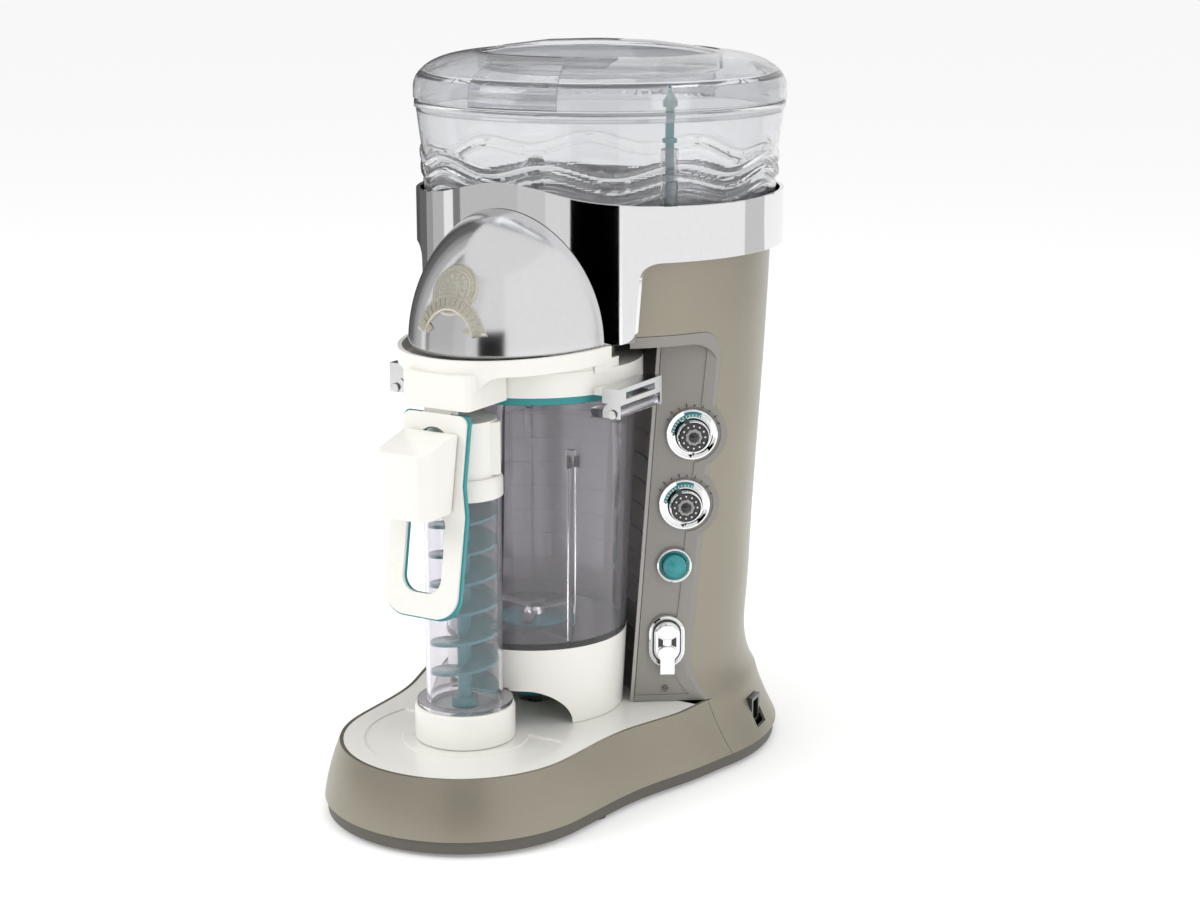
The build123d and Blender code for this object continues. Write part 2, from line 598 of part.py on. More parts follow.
def make_tube_foot():
    low = DECK_Z + 0.3
    outline = [(34.7, low), (34.7, 73), (33.5, 76), (24, 76), (24, 72), (31.5, 72), (31.5, low)]
    foot = turned(outline, 0, AUG_Y)
    return foot + ring(26.0, 6.0, 70.0, 73.0, 0, AUG_Y)


def make_auger():
    height = AUGER_PITCH * AUGER_TURNS
    shaft = rod(5.0, 66.5, 236.0, 0, AUG_Y)
    flight_path = Helix(AUGER_PITCH, height, 14.2)
    profile = Plane(origin=(14.2, 0, 0), x_dir=(1, 0, 0), z_dir=(0, 1, 0)) * Rectangle(18.8, 2.2)
    flight = sweep(profile, path=flight_path, is_frenet=True)
    flight = Pos(0, AUG_Y, AUGER_LOW) * flight
    socket = rod(9.0, 73.6, 80.0, 0, AUG_Y) + rod(5.9, 66.5, 74.0, 0, AUG_Y)
    auger = shaft + socket + flight
    return auger - Pos(0, AUG_Y, 66) * extrude(RegularPolygon(3.6, 4), 12)


def lever_plane_y(z, proud=0.0):
    """Y of the lever's front face at a height."""
    lean = math.tan(math.radians(LEVER_TILT))
    return LEVER_FACE_Y - (LEVER_TOP_Z - z) * lean - proud


def make_spout_elbow():
    cap = turned([(24.0, 236.2), (24.0, 277.0), (0, 277.0), (0, 274.5),
                  (21.5, 274.5), (21.5, 236.2)], 0, AUG_Y)
    sleeve = turned([(TUBE_R + 0.1, 224.0), (28.0, 224.0), (28.0, 235.5), (26.5, 238.5),
                     (21.5, 238.5), (21.5, 236.2),
                     (TUBE_R + 0.1, 236.2)], 0, AUG_Y)
    neck = block(-10.5, 10.5, lever_plane_y(255) - 6, AUG_Y - 15, 242, 270)
    bore = block(-8.5, 8.5, -190, AUG_Y - 8, 244, 268)
    cap += neck - rod(21.5, 230, 280, 0, AUG_Y)
    # thumb fin on the side of the cap
    fin = slab_outline([(20, -116), (27.5, -108), (27.5, -104), (20, -100)], 240, 276)
    cap += fin - rod(22, 200, 300, 0, AUG_Y)
    cap += sleeve
    cap -= bore
    return cap - make_nozzle_envelope()


NOZZLE_FRONT = -183.5
NOZZLE_HALF = 20.5
NOZZLE_CORNER = 11.0


def nozzle_plan(inset, low, high):
    """Upright prism with two round front corners, from the nozzle's front to behind the lever."""
    depth = -140.0 - NOZZLE_FRONT - inset
    outline = Rectangle(2 * (NOZZLE_HALF - inset), depth)
    front_corners = outline.vertices().sort_by(Axis.Y)[:2]
    outline = fillet(front_corners, NOZZLE_CORNER - inset)
    return Pos(0, -140.0 - depth / 2, low) * extrude(outline, high - low)


def behind_lever(proud):
    """Everything behind a plane this far in front of the lever's face."""
    low, high = 190, 300
    outline = [(-60, lever_plane_y(low, proud), low), (-60, lever_plane_y(high, proud), high),
               (-60, 0, high), (-60, 0, low)]
    return extrude(make_face(Polyline(*outline, close=True)), 120, dir=(1, 0, 0))


def make_nozzle_envelope():
    body = nozzle_plan(0.0, 222.0, 276.0)
    roof = [(-40, -200, 262), (-40, -150, 274), (-40, -130, 274), (-40, -130, 300), (-40, -200, 300)]
    slope = make_face(Polyline(*roof, close=True))
    return body - extrude(slope, 80, dir=(1, 0, 0)) - behind_lever(1.0)


def make_nozzle():
    inside = nozzle_plan(WALL, 200.0, 262.0)
    inside -= behind_lever(1.0 + WALL)
    bore = block(-8.5, 8.5, -165, -130, 244, 262)
    return make_nozzle_envelope() - inside - bore


# ---------------------------------------------------------------- jar lid, dome and lever
LID_A = 75.0          # half-width of the lid's front band
LID_B = 104.0         # its reach in front of its centre
LID_CENTRE_Y = -34.0
APRON_HALF = 26.5
APRON_LOW = 288.6
BAND_LOW = 310.0      # lower edge of the band in front of the round lid
ARCH_R = 14.0         # arch beside the apron, up to that edge


def egg(a, b, low, high):
    """Front half of an ellipse, closed by a straight back."""
    full = Pos(0, LID_CENTRE_Y, low) * extrude(Ellipse(b, a, rotation=90), high - low)
    return full & block(-200, 200, -400, LID_CENTRE_Y + 6, low - 1, high + 1)


def under_arch():
    """Room below the lid's front band: level, with a quarter arch down to each side of the apron."""
    spring = BAND_LOW - ARCH_R
    bulge = ARCH_R * math.sqrt(0.5)
    room = None
    for side in (1, -1):
        x0 = side * (APRON_HALF + 0.5)
        x1 = x0 + side * ARCH_R
        far = side * 100
        outline = face_of(
            Line((x0, 0, 280), (x0, 0, spring)),
            ThreePointArc((x0, 0, spring), (x1 - side * bulge, 0, spring + bulge), (x1, 0, BAND_LOW)),
            Polyline((x1, 0, BAND_LOW), (far, 0, BAND_LOW), (far, 0, 280), (x0, 0, 280)),
        )
        half = extrude(outline, 200, dir=(0, -1, 0))
        room = half if room is None else room + half
    return room - rod(78.5, 270, 330, 0, JAR_Y)


def make_jar_lid():
    top_in = LID_TOP - 3.0
    lid = rod(77.5, 289.3, LID_TOP, 0, JAR_Y) - rod(73.4, 280, top_in, 0, JAR_Y)
    lid += ring(69.6, 67.0, 286.0, top_in + 0.5, 0, JAR_Y)
    # raised front band; under the neck it is lower, so that the jar can be lifted off its drive
    band = egg(LID_A, LID_B, APRON_LOW + 6, BAND_RISE) - egg(LID_A - 3, LID_B - 3, APRON_LOW, BAND_RISE + 1)
    band -= rod(COLLAR_R + 1.6, 312.5, 330.0, 0, RES_Y)
    band -= rod(78.5, 270, top_in + 0.7, 0, JAR_Y)
    band -= under_arch()
    # shelf that closes the band in front of the round lid, and its inner wall
    shelf = egg(LID_A - 1.5, LID_B - 1.5, BAND_LOW, BAND_LOW + 2.4)
    wall = ring(77.0, 74.6, top_in + 0.3, BAND_LOW + 2.0, 0, JAR_Y) & egg(LID_A - 1.2, LID_B, 300, 320)
    shelf -= rod(75.6, 300, 320, 0, JAR_Y)
    # apron that hides the lever's hinge
    apron = block(-APRON_HALF, APRON_HALF, LEVER_FACE_Y, -94.5, APRON_LOW, BAND_LOW + 1.8)
    apron = fillet(apron.edges().filter_by(Axis.Z).sort_by(Axis.Y)[:2], 4.0)
    apron -= rod(78.0, 280, 320, 0, JAR_Y)
    lid += band + shelf + wall + apron
    lid -= block(-15.0, 15.0, LEVER_FACE_Y + 3, -100.0, 270, BAND_LOW - 0.6)
    for side in (1, -1):
        low, high = sorted((side * 18.0, side * 23.4))
        lid -= block(low, high, LEVER_FACE_Y + 3, -101.0, 270, BAND_LOW - 1.2)
    lid -= across(1.6, -18.6, 18.6)
    # ice opening with a low rim
    lid -= rod(50.5, 280, 330, 0, CHUTE_Y + 4)
    lid += ring(52.0, 49.0, top_in - 0.4, 311.0, 0, CHUTE_Y + 4)
    # ledges for the clips
    for side in (1, -1):
        low, high = sorted((side * 72.0, side * 84.5))
        lid += block(low, high, LUG_Y[0] + 1, LUG_Y[1] - 1, 290.0, 294.6) - rod(75.5, 280, 300, 0, JAR_Y)
    return lid


def across(r, x0, x1):
    """Cylinder along X on the lever's pin axis."""
    return Pos(x0, LEVER_PIN_Y, LEVER_PIN_Z) * Rot(0, 90, 0) * Cylinder(r, x1 - x0, align=CENTRE_LOW)


def make_lid_gasket():
    return ring(76.0, 70.3, JAR_TOP + 0.1, 289.2, 0, JAR_Y)


DOME_A = 70.5
DOME_B = 95.0
DOME_C = 95.0
DOME_Y = -32.0


def dome_solid(inset):
    ball = scale(Sphere(1.0), by=(DOME_A - inset, DOME_B - inset, DOME_C - inset))
    return Pos(0, DOME_Y, BAND_RISE) * ball


def make_dome():
    shell = dome_solid(0) - dome_solid(2.2)
    shell &= block(-200, 200, -200, 0, BAND_RISE + 0.2, 500)
    return shell - rod(COLLAR_R + 1.0, 300, 500, 0, RES_Y)


BADGE_PITCH = 44.0
BADGE_Y = -115.6
BADGE_Z = 364.2
BANNER_DROP = 34.6    # centre of the banner's arc, below the middle of the medallion


def badge_frame():
    """Frame on the dome's face: X across, Y up, Z out."""
    pitch = math.radians(BADGE_PITCH)
    normal = (0, -math.cos(pitch), math.sin(pitch))
    return Location(Plane(origin=(0, BADGE_Y, BADGE_Z), x_dir=(1, 0, 0), z_dir=normal))


def make_badge():
    """Round medallion on the dome's face, with an arched banner across its lower part."""
    seat = dome_solid(-2.2) - dome_solid(-0.02)
    seat &= block(-60, 60, -200, -60, BAND_RISE, 420)
    disc = Cylinder(17.2, 60)
    arch = Pos(0, -BANNER_DROP, 0) * (Cylinder(30.1, 60) - Cylinder(20.1, 80))
    arch &= Box(80, 49.6, 60)
    return seat & (badge_frame() * (disc + arch))


def lever_outline(grow):
    """Closed front outline of the lever in its own plane: X across, Y down from its top."""
    top, foot = 25.0 + grow, 29.0 + grow
    plate = Rectangle(2 * top, 74 + grow)
    plate = Pos(0, -(74 + grow) / 2 + grow) * fillet(plate.vertices(), 6)
    loop = Rectangle(2 * foot, 78 + 2 * grow)
    loop = Pos(0, -97) * fillet(loop.vertices(), 17)
    flare = [(-top, -46), (-foot, -66), (-foot, -84), (foot, -84), (foot, -66), (top, -46)]
    return plate + loop + make_face(Polyline(*flare, close=True))


def lever_opening(grow):
    slot = Pos(0, -40) * fillet(Rectangle(25 - 2 * grow, 62 - 2 * grow).vertices(), 12.0 - grow)
    loop = Pos(0, -92) * fillet(Rectangle(31 - 2 * grow, 56 - 2 * grow).vertices(), 11 - grow)
    return slot + loop


def lever_frame(proud):
    """The lever's plane: X across, Y up along the lever, Z towards the front."""
    tilt = math.radians(LEVER_TILT)
    normal = (0, -math.cos(tilt), math.sin(tilt))
    origin = (0, LEVER_FACE_Y - proud * math.cos(tilt), LEVER_TOP_Z + proud * math.sin(tilt))
    return Location(Plane(origin=origin, x_dir=(1, 0, 0), z_dir=normal))


def make_lever():
    face = lever_outline(0) - lever_opening(0)
    plate = lever_frame(-2.4) * extrude(face, 2.4)
    # tongue that runs up into the apron and carries the bore
    tongue = block(-11, 11, LEVER_PIN_Y - 3.8, LEVER_PIN_Y + 3.8, LEVER_TOP_Z - 6, LEVER_PIN_Z)
    tongue += block(-11, 11, LEVER_FACE_Y + 1.0, LEVER_PIN_Y, LEVER_TOP_Z - 6, LEVER_TOP_Z)
    tongue += across(3.8, -11, 11)
    return plate + tongue - across(1.55 + RUN, -30, 30)


def make_lever_trim():
    face = lever_outline(1.4) - lever_opening(0.0)
    backing = lever_frame(-5.6) * extrude(face, 3.1)
    backing &= block(-60, 60, -220, 0, 100, LEVER_TOP_Z - 0.4)
    return backing - block(-11.4, 11.4, LEVER_FACE_Y, LEVER_PIN_Y + 6, LEVER_TOP_Z - 7, 300)


# ---------------------------------------------------------------- controls
def cheek_ring(outer, inner, along, height, low, high):
    disc = Cylinder(outer, high - low, align=CENTRE_LOW)
    return on_cheek(along, height, low) * (disc - Cylinder(inner, 3 * (high - low)))


def make_bezels():
    """Chrome surrounds of the two dials, the start button and the mode rocker."""
    rings = [cheek_ring(12.8, 8.6, BUTTON[0], BUTTON[1], 0.05, 3.6),
             capsule(26.5, 39.0, 0.05, 3.4, *ROCKER) - capsule(20.0, 32.0, -1, 5, *ROCKER)]
    for along, height in DIALS:
        base = cheek_ring(18.5, 4.0, along, height, 0.05, 1.6)
        lip = cheek_ring(18.5, 16.4, along, height, 0.05, 3.6)
        well = cheek_ring(14.0, 12.4, along, height, 0.05, 5.0)
        rings.append(base + lip + well)
    return solids_of(*rings)


def make_dial(index):
    along, height = DIALS[index]
    knob = on_cheek(along, height, 2.0) * Cylinder(11.5, 11.0, align=CENTRE_LOW)
    pointer = on_cheek(along, height, 5.4) * (Pos(0, -11.6) * Box(3.4, 4.6, 3.0, align=CENTRE_LOW))
    stem = on_cheek(along, height, -8.0) * Cylinder(3.0, 11.0, align=CENTRE_LOW)
    return knob + pointer + stem


def make_button():
    cap = on_cheek(*BUTTON, -4.0) * Cylinder(8.2, 12.0, align=CENTRE_LOW)
    stem = on_cheek(*BUTTON, -9.0) * Cylinder(3.0, 6.0, align=CENTRE_LOW)
    return cap + stem


def capsule(width, height, low, high, along, up):
    shape = fillet(Rectangle(width, height).vertices(), width / 2 - 0.01)
    return on_cheek(along, up, low) * extrude(shape, high - low)


def make_rocker():
    body = capsule(19.0, 30.0, 1.3, 5.2, *ROCKER)
    tab = on_cheek(ROCKER[0], ROCKER[1] - 16.0, 5.0) * Box(11, 16, 2.2, align=CENTRE_LOW)
    tab += on_cheek(ROCKER[0], ROCKER[1] - 10.0, 4.6) * Box(11, 6, 1.0, align=CENTRE_LOW)
    stem = on_cheek(ROCKER[0], ROCKER[1], -5.0) * Box(8, 3.6, 7, align=CENTRE_LOW)
    pivot = on_cheek(ROCKER[0], ROCKER[1], PIVOT_DEPTH) * Rot(0, 90, 0) * Cylinder(1.8, 12)
    return body + tab + stem + pivot


def make_lamp():
    return on_cheek(*LAMP, -3.0) * Cylinder(2.4, 4.0, align=CENTRE_LOW)


def cut_control_holes(panel):
    for along, height in DIALS:
        panel -= on_cheek(along, height, -10) * Cylinder(3.4, 20, align=CENTRE_LOW)
    panel -= on_cheek(*BUTTON, -10) * Cylinder(8.5, 20, align=CENTRE_LOW)
    panel -= on_cheek(*ROCKER, -10) * Box(10, 6.5, 20, align=CENTRE_LOW)
    panel -= on_cheek(*LAMP, -10) * Cylinder(2.5, 20, align=CENTRE_LOW)
    return panel


def make_switches():
    rotary = []
    can = Cylinder(9.0, 13.6, align=CENTRE_LOW) - Pos(0, 0, 5) * Cylinder(3.3, 20, align=CENTRE_LOW)
    for along, height in DIALS:
        rotary.append(on_cheek(along, height, -PANEL_T - 14) * can)
    push = on_cheek(BUTTON[0], BUTTON[1], -20.0) * Box(14, 14, 8, align=CENTRE_LOW)
    rock = on_cheek(ROCKER[0], ROCKER[1], -20.0) * Box(14, 24, 12.6, align=CENTRE_LOW)
    return solids_of(*rotary, push, rock)


def make_control_board():
    return on_cheek(24.0, 136.0, -22.0) * Box(24, 130, 1.6, align=CENTRE_LOW)


def make_button_spring():
    return on_cheek(*BUTTON, -9.0) * (Cylinder(6.0, 2.2, align=CENTRE_LOW) - Cylinder(5.0, 20))


# ---------------------------------------------------------------- drives
def toothed(teeth, root_r, tip_r, low, high, bore, x, y, start=0.0, share=0.42):
    """Spur gear with straight-sided teeth."""
    pitch = 360.0 / teeth
    wide = math.radians(pitch * share)
    tooth = slab_outline([(root_r - 0.5, -root_r * wide * 0.62), (tip_r, -tip_r * wide * 0.30),
                          (tip_r, tip_r * wide * 0.30), (root_r - 0.5, root_r * wide * 0.62)], low, high)
    gear = rod(root_r, low, high)
    for copy in bars_on_circle(tooth, teeth, 0, 0, start):
        gear += copy
    return Pos(x, y, 0) * (gear - rod(bore, low - 1, high + 1))


GEAR_TEETH = 40
PINION_TEETH = 10
MODULE = 1.1
GEAR_LOW = 32.0
GEAR_HIGH = 37.0
PINION_Y = AUG_Y - MODULE * (GEAR_TEETH + PINION_TEETH) / 2


def make_auger_gear():
    """Gear moulded on the spindle whose square end turns the auger."""
    gear = toothed(GEAR_TEETH, 20.8, 22.9, GEAR_LOW, GEAR_HIGH, 1.0, 0, AUG_Y, 0.0)
    spindle = rod(3.0, 14.0, 64.0, 0, AUG_Y) + rod(7.0, GEAR_HIGH, 41.0, 0, AUG_Y)
    plug = Pos(0, AUG_Y, 64) * extrude(RegularPolygon(3.4, 4), 10)
    return gear + spindle + plug + rod(8.5, 44.0, 47.0, 0, AUG_Y)


def make_auger_pinion():
    return toothed(PINION_TEETH, 4.1, 6.4, GEAR_LOW, GEAR_HIGH, 1.5, 0, PINION_Y, 90.0 + 18.0)


def make_auger_motor():
    return rod(13.5, 7.5, 29.0, 0, PINION_Y) + rod(1.45, 29.0, 39.0, 0, PINION_Y)


def make_auger_bracket():
    """Bridge that carries the motor and the auger spindle's lower bearing."""
    plate = block(-20, 20, PINION_Y - 16, AUG_Y + 14, 29.1, 31.2)
    plate -= rod(2.5, 20, 40, 0, PINION_Y)
    plate += ring(7.0, 3.0 + RUN, 22.0, 31.2, 0, AUG_Y)
    plate -= rod(3.0 + RUN, 10, 40, 0, AUG_Y)
    for side in (1, -1):
        low, high = sorted((side * 17.0, side * 20.0))
        plate += block(low, high, PINION_Y + 16, AUG_Y + 14, 6.1, 31.2)
    return plate


def spool(core, rim, bore, shaft_top, y):
    """Flat-belt pulley with a flange at each end; shaft_top above it forms a shaft of radius bore."""
    low, high = PULLEY_LOW, PULLEY_HIGH
    outline = [(rim, low - 1), (rim, low + 1), (core, low + 1)]
    outline += [(core, high - 1), (rim, high - 1), (rim, high + 1)]
    if shaft_top:
        outline += [(bore, high + 1), (bore, shaft_top), (0, shaft_top), (0, low - 1)]
    else:
        outline += [(bore, high + 1), (bore, low - 1)]
    return turned(outline, 0, y)


def make_motor_pulley():
    """Small pulley formed on the end of the motor's shaft."""
    return spool(11.0, 14.0, 4.0, 60.0, MOTOR_Y)


def make_driven_pulley():
    return spool(24.0, 27.0, 5.0, None, JAR_Y)


def belt_outline(small, large, low, high):
    """Plan of an open belt round both pulleys."""
    span = MOTOR_Y - JAR_Y
    lean = math.asin((large - small) / span)
    tangents = []
    for y, r in ((MOTOR_Y, small), (JAR_Y, large)):
        tangents.append((r * math.cos(lean), y + r * math.sin(lean)))
    (sx, sy), (lx, ly) = tangents
    plan = face_of(
        Line((sx, sy, low), (lx, ly, low)),
        ThreePointArc((lx, ly, low), (0, JAR_Y - large, low), (-lx, ly, low)),
        Line((-lx, ly, low), (-sx, sy, low)),
        ThreePointArc((-sx, sy, low), (0, MOTOR_Y + small, low), (sx, sy, low)),
    )
    return extrude(plan, high - low, dir=(0, 0, 1))


def make_belt():
    low, high = PULLEY_LOW + 1.4, PULLEY_HIGH - 1.4
    return belt_outline(13.4, 26.4, low, high) - belt_outline(11.3, 24.3, low - 1, high + 1)


def make_drive_spindle():
    shaft = rod(5.0, 10.0, 58.0, 0, JAR_Y)
    dog = Pos(0, JAR_Y, 58.0) * extrude(RegularPolygon(6.3, 6), 10.5)
    return shaft + dog


def make_drive_bearings():
    return solids_of(ring(13.0, 5.0 + RUN, 8.0, 14.0, 0, JAR_Y), ring(13.0, 5.0 + RUN, 41.5, 47.5, 0, JAR_Y))


def make_blend_motor():
    can = rod(41.0, 62.0, 150.0, 0, MOTOR_Y)
    can += rod(20.0, 54.0, 62.0, 0, MOTOR_Y) + rod(18.0, 150.0, 158.0, 0, MOTOR_Y)
    for copy in bars_on_circle(block(37, 43.5, -7, 7, 80, 132), 4, 0, MOTOR_Y, 45):
        can += copy
    return can - rod(4.0 + RUN, 50, 60.3, 0, MOTOR_Y)


def make_motor_mount():
    """Cross plate that hangs the blending motor on the column's inside."""
    plate = rod(106.0, 49.5, 53.5, 0, RES_Y) & block(-60, 60, 66, 180, 0, 100)
    plate -= rod(10.0, 40, 60, 0, MOTOR_Y)
    for x, y in ((50, 84), (-50, 84), (50, 150), (-50, 150)):
        plate += rod(5.0, 6.1, 50.0, x, y)
    return plate


def make_shave_gearbox():
    box = block(-30, 30, 52, 166, 338.0, COLUMN_TOP)
    box = fillet(box.edges().filter_by(Axis.Z), 12.0)
    box -= rod(5.0 + RUN, 370, 380, 0, RES_Y)
    box -= rod(5.4, 373, 376, 0, RES_Y)
    return box


def make_shave_motor():
    return rod(32.0, 240.0, 330.0, 0, SHAVE_MOTOR_Y) + rod(14.0, 232.0, 337.8, 0, SHAVE_MOTOR_Y)


# ---------------------------------------------------------------- small fixed pieces
def make_plunger():
    pin = rod(4.2, LID_TOP + 0.3, 334.0, PLUNGER_X, PLUNGER_Y)
    return pin + rod(5.6, 325.0, 327.0, PLUNGER_X, PLUNGER_Y)


def make_interlock_switches():
    over_lid = block(PLUNGER_X - 6, PLUNGER_X + 6, PLUNGER_Y - 4, PLUNGER_Y + 16, 344.5, 356.0)
    under_rod = block(ROD_X - 8, ROD_X + 8, ROD_Y - 4, ROD_Y + 4, 383.1, 385.0)
    return solids_of(over_lid, under_rod)


def make_inlet():
    x, y, z = 119.0, 90.9, 30.0
    body = Pos(x, y, z) * Rot(0, 0, 8) * Box(10, 17.4, 21.4)
    return body - Pos(x + 4, y + 0.5, z) * Rot(0, 0, 8) * Box(10, 11, 15)


def make_feet():
    return solids_of(*[turned([(0, 0), (8.5, 0), (9.5, 3.0), (0, 3.0)], x, y) for x, y in FEET])


def make_screws():
    screws = []
    for x, y in BASE_SCREWS:
        screws.append(rod(4.0, 1.2, 3.0, x, y) + rod(1.9, 3.0, BAND_TOP - 1, x, y))
    return solids_of(*screws)


def main():
    os.makedirs("parts", exist_ok=True)
    skirt, shell, outer, inner = make_shells()
    panel, plain = make_cheek_covers(outer, inner)
    pieces = {
        "base_skirt": skirt,
        "base_pan": make_base_pan(),
        "deck": make_deck(),
        "column_shell": shell,
        "control_panel": cut_control_holes(panel),
        "side_cover": plain,
        "bay_liner": make_bay_liner(inner),
        "chrome_collar": make_collar(),
        "head_frame": make_head_frame(),
        "shave_motor": make_shave_motor(),
        "shave_gearbox": make_shave_gearbox(),
        "blend_motor": make_blend_motor(),
        "motor_mount": make_motor_mount(),
        "drive_bearings": make_drive_bearings(),
        "auger_motor": make_auger_motor(),
        "auger_bracket": make_auger_bracket(),
        "drive_belt": make_belt(),
        "control_board": make_control_board(),
        "panel_switches": make_switches(),
        "interlock_switches": make_interlock_switches(),
        "control_bezels": make_bezels(),
        "status_lamp": make_lamp(),
        "button_spring": make_button_spring(),
        "power_inlet": make_inlet(),
        "feet": make_feet(),
        "base_screws": make_screws(),
        "shave_shaft": make_shave_shaft(),
        "motor_pulley": make_motor_pulley(),
        "driven_pulley": make_driven_pulley(),
        "drive_spindle": make_drive_spindle(),
        "auger_gear": make_auger_gear(),
        "auger_pinion": make_auger_pinion(),
        "upper_dial": make_dial(0),
        "lower_dial": make_dial(1),
        "start_button": make_button(),
        "mode_rocker": make_rocker(),
        "jar_plunger": make_plunger(),
        "jar": make_jar(),
        "jar_skirt": make_jar_skirt(),
        "blade_nut": make_blade_nut(),
        "jar_lid": make_jar_lid(),
        "lid_gasket": make_lid_gasket(),
        "dome": make_dome(),
        "badge": make_badge(),
        "auger_tube": make_auger_tube(),
        "tube_foot": make_tube_foot(),
        "spout_elbow": make_spout_elbow(),
        "spout_nozzle": make_nozzle(),
        "hinge_pins": solids_of(make_clip_pins(), across(1.55, -18, 18)),
        "dispensing_lever": make_lever(),
        "lever_trim": make_lever_trim(),
        "jar_clip_right": make_clip(1),
        "jar_clip_left": make_clip(-1),
        "blades": make_blades(),
        "auger": make_auger(),
        "ice_reservoir": make_reservoir(),
        "shave_plate": make_shave_plate(),
        "ice_paddle": make_paddle(),
        "reservoir_lid": make_reservoir_lid(),
        "interlock_rod": make_interlock_rod(),
    }
    for name, piece in pieces.items():
        export_step(piece, f"parts/{name}.step")
        print(name, len(piece.solids()), round(sum(s.volume for s in piece.solids())))


main()
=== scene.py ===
"""Looks of a countertop frozen-drink machine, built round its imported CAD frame."""
import json
import math

import bmesh
import bpy
from mathutils import Matrix, Vector


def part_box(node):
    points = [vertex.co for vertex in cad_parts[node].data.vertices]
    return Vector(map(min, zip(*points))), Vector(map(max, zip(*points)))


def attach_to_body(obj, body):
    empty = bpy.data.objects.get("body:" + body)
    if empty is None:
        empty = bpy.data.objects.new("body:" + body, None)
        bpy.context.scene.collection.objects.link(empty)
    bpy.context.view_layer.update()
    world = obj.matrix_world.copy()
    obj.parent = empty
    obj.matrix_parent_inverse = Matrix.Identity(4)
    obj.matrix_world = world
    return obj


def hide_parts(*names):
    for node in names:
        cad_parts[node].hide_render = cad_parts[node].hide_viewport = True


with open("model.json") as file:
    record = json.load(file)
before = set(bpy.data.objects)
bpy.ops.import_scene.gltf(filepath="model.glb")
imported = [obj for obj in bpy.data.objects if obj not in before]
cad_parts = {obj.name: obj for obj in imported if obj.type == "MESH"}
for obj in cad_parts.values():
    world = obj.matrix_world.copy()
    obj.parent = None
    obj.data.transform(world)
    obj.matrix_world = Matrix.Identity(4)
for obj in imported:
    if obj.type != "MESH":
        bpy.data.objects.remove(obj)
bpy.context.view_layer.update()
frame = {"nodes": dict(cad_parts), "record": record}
RECORD = frame["record"]
BODY_OF = {node: body for body, nodes in RECORD["behaviour"]["bodies"].items() for node in nodes}
SLOT_OF = {entry["node"]: entry["material_slot"] for entry in RECORD["subparts"]}
MM = 0.001
RES_Y = 74.0    # axis of the reservoir and the column, in millimetres

# part of a noise texture's output that carries most of its variation
NOISE_LOW = 0.3
NOISE_HIGH = 0.7


# ---------------------------------------------------------------- materials
def blank(name):
    """New material, with its node tree and its shader."""
    mat = bpy.data.materials.new(name)
    mat.use_nodes = True
    shader = mat.node_tree.nodes["Principled BSDF"]
    return mat, mat.node_tree, shader


def add(tree, kind, **values):
    """A node with its sockets and properties set by name."""
    node = tree.nodes.new(kind)
    for key, value in values.items():
        if key in node.inputs:
            node.inputs[key].default_value = value
        else:
            setattr(node, key, value)
    return node


def object_noise(tree, scale, detail=3.0, stretch=(1.0, 1.0, 1.0)):
    """Noise in object space, with the scale per metre."""
    where = add(tree, "ShaderNodeTexCoord")
    mapping = add(tree, "ShaderNodeMapping")
    mapping.inputs["Scale"].default_value = stretch
    tree.links.new(where.outputs["Object"], mapping.inputs["Vector"])
    texture = add(tree, "ShaderNodeTexNoise", Scale=scale, Detail=detail)
    tree.links.new(mapping.outputs["Vector"], texture.inputs["Vector"])
    return texture.outputs["Fac"]


def vary_colour(tree, shader, colour, fac, spread):
    """Base colour that runs a little darker and lighter with fac."""
    ramp = add(tree, "ShaderNodeValToRGB")
    dark = tuple(c * (1 - spread) for c in colour) + (1.0,)
    light = tuple(min(1.0, c * (1 + spread)) for c in colour) + (1.0,)
    ramp.color_ramp.elements[0].position = NOISE_LOW
    ramp.color_ramp.elements[0].color = dark
    ramp.color_ramp.elements[1].position = NOISE_HIGH
    ramp.color_ramp.elements[1].color = light
    tree.links.new(fac, ramp.inputs["Fac"])
    tree.links.new(ramp.outputs["Color"], shader.inputs["Base Color"])


def vary_roughness(tree, shader, low, high, fac):
    """Roughness that runs from low to high with fac."""
    span = add(tree, "ShaderNodeMapRange")
    span.inputs["From Min"].default_value = NOISE_LOW
    span.inputs["From Max"].default_value = NOISE_HIGH
    span.inputs["To Min"].default_value = low
    span.inputs["To Max"].default_value = high
    tree.links.new(fac, span.inputs["Value"])
    tree.links.new(span.outputs["Result"], shader.inputs["Roughness"])


def add_bump(tree, shader, fac, strength, depth):
    """Small relief that follows fac, its depth in metres."""
    bump = add(tree, "ShaderNodeBump", Strength=strength, Distance=depth)
    tree.links.new(fac, bump.inputs["Height"])
    tree.links.new(bump.outputs["Normal"], shader.inputs["Normal"])


def solid_material(name, colour, rough, metal=0.0, grain=1400.0, spread=0.04, bump=0.05, coat=0.0,
                   stretch=(1, 1, 1), wear=0.12):
    """Moulded, painted or metal surface with fine grain, broad handling wear and a little bump."""
    mat, tree, shader = blank(name)
    shader.inputs["Metallic"].default_value = metal
    shader.inputs["Coat Weight"].default_value = coat
    shader.inputs["Coat Roughness"].default_value = 0.12
    fine = object_noise(tree, grain, 2.0, stretch)
    broad = object_noise(tree, 14.0, 4.0)
    vary_colour(tree, shader, colour, fine, spread)
    vary_roughness(tree, shader, rough * (1 - wear), rough * (1 + wear), broad)
    add_bump(tree, shader, fine, bump, 0.0002)
    return mat


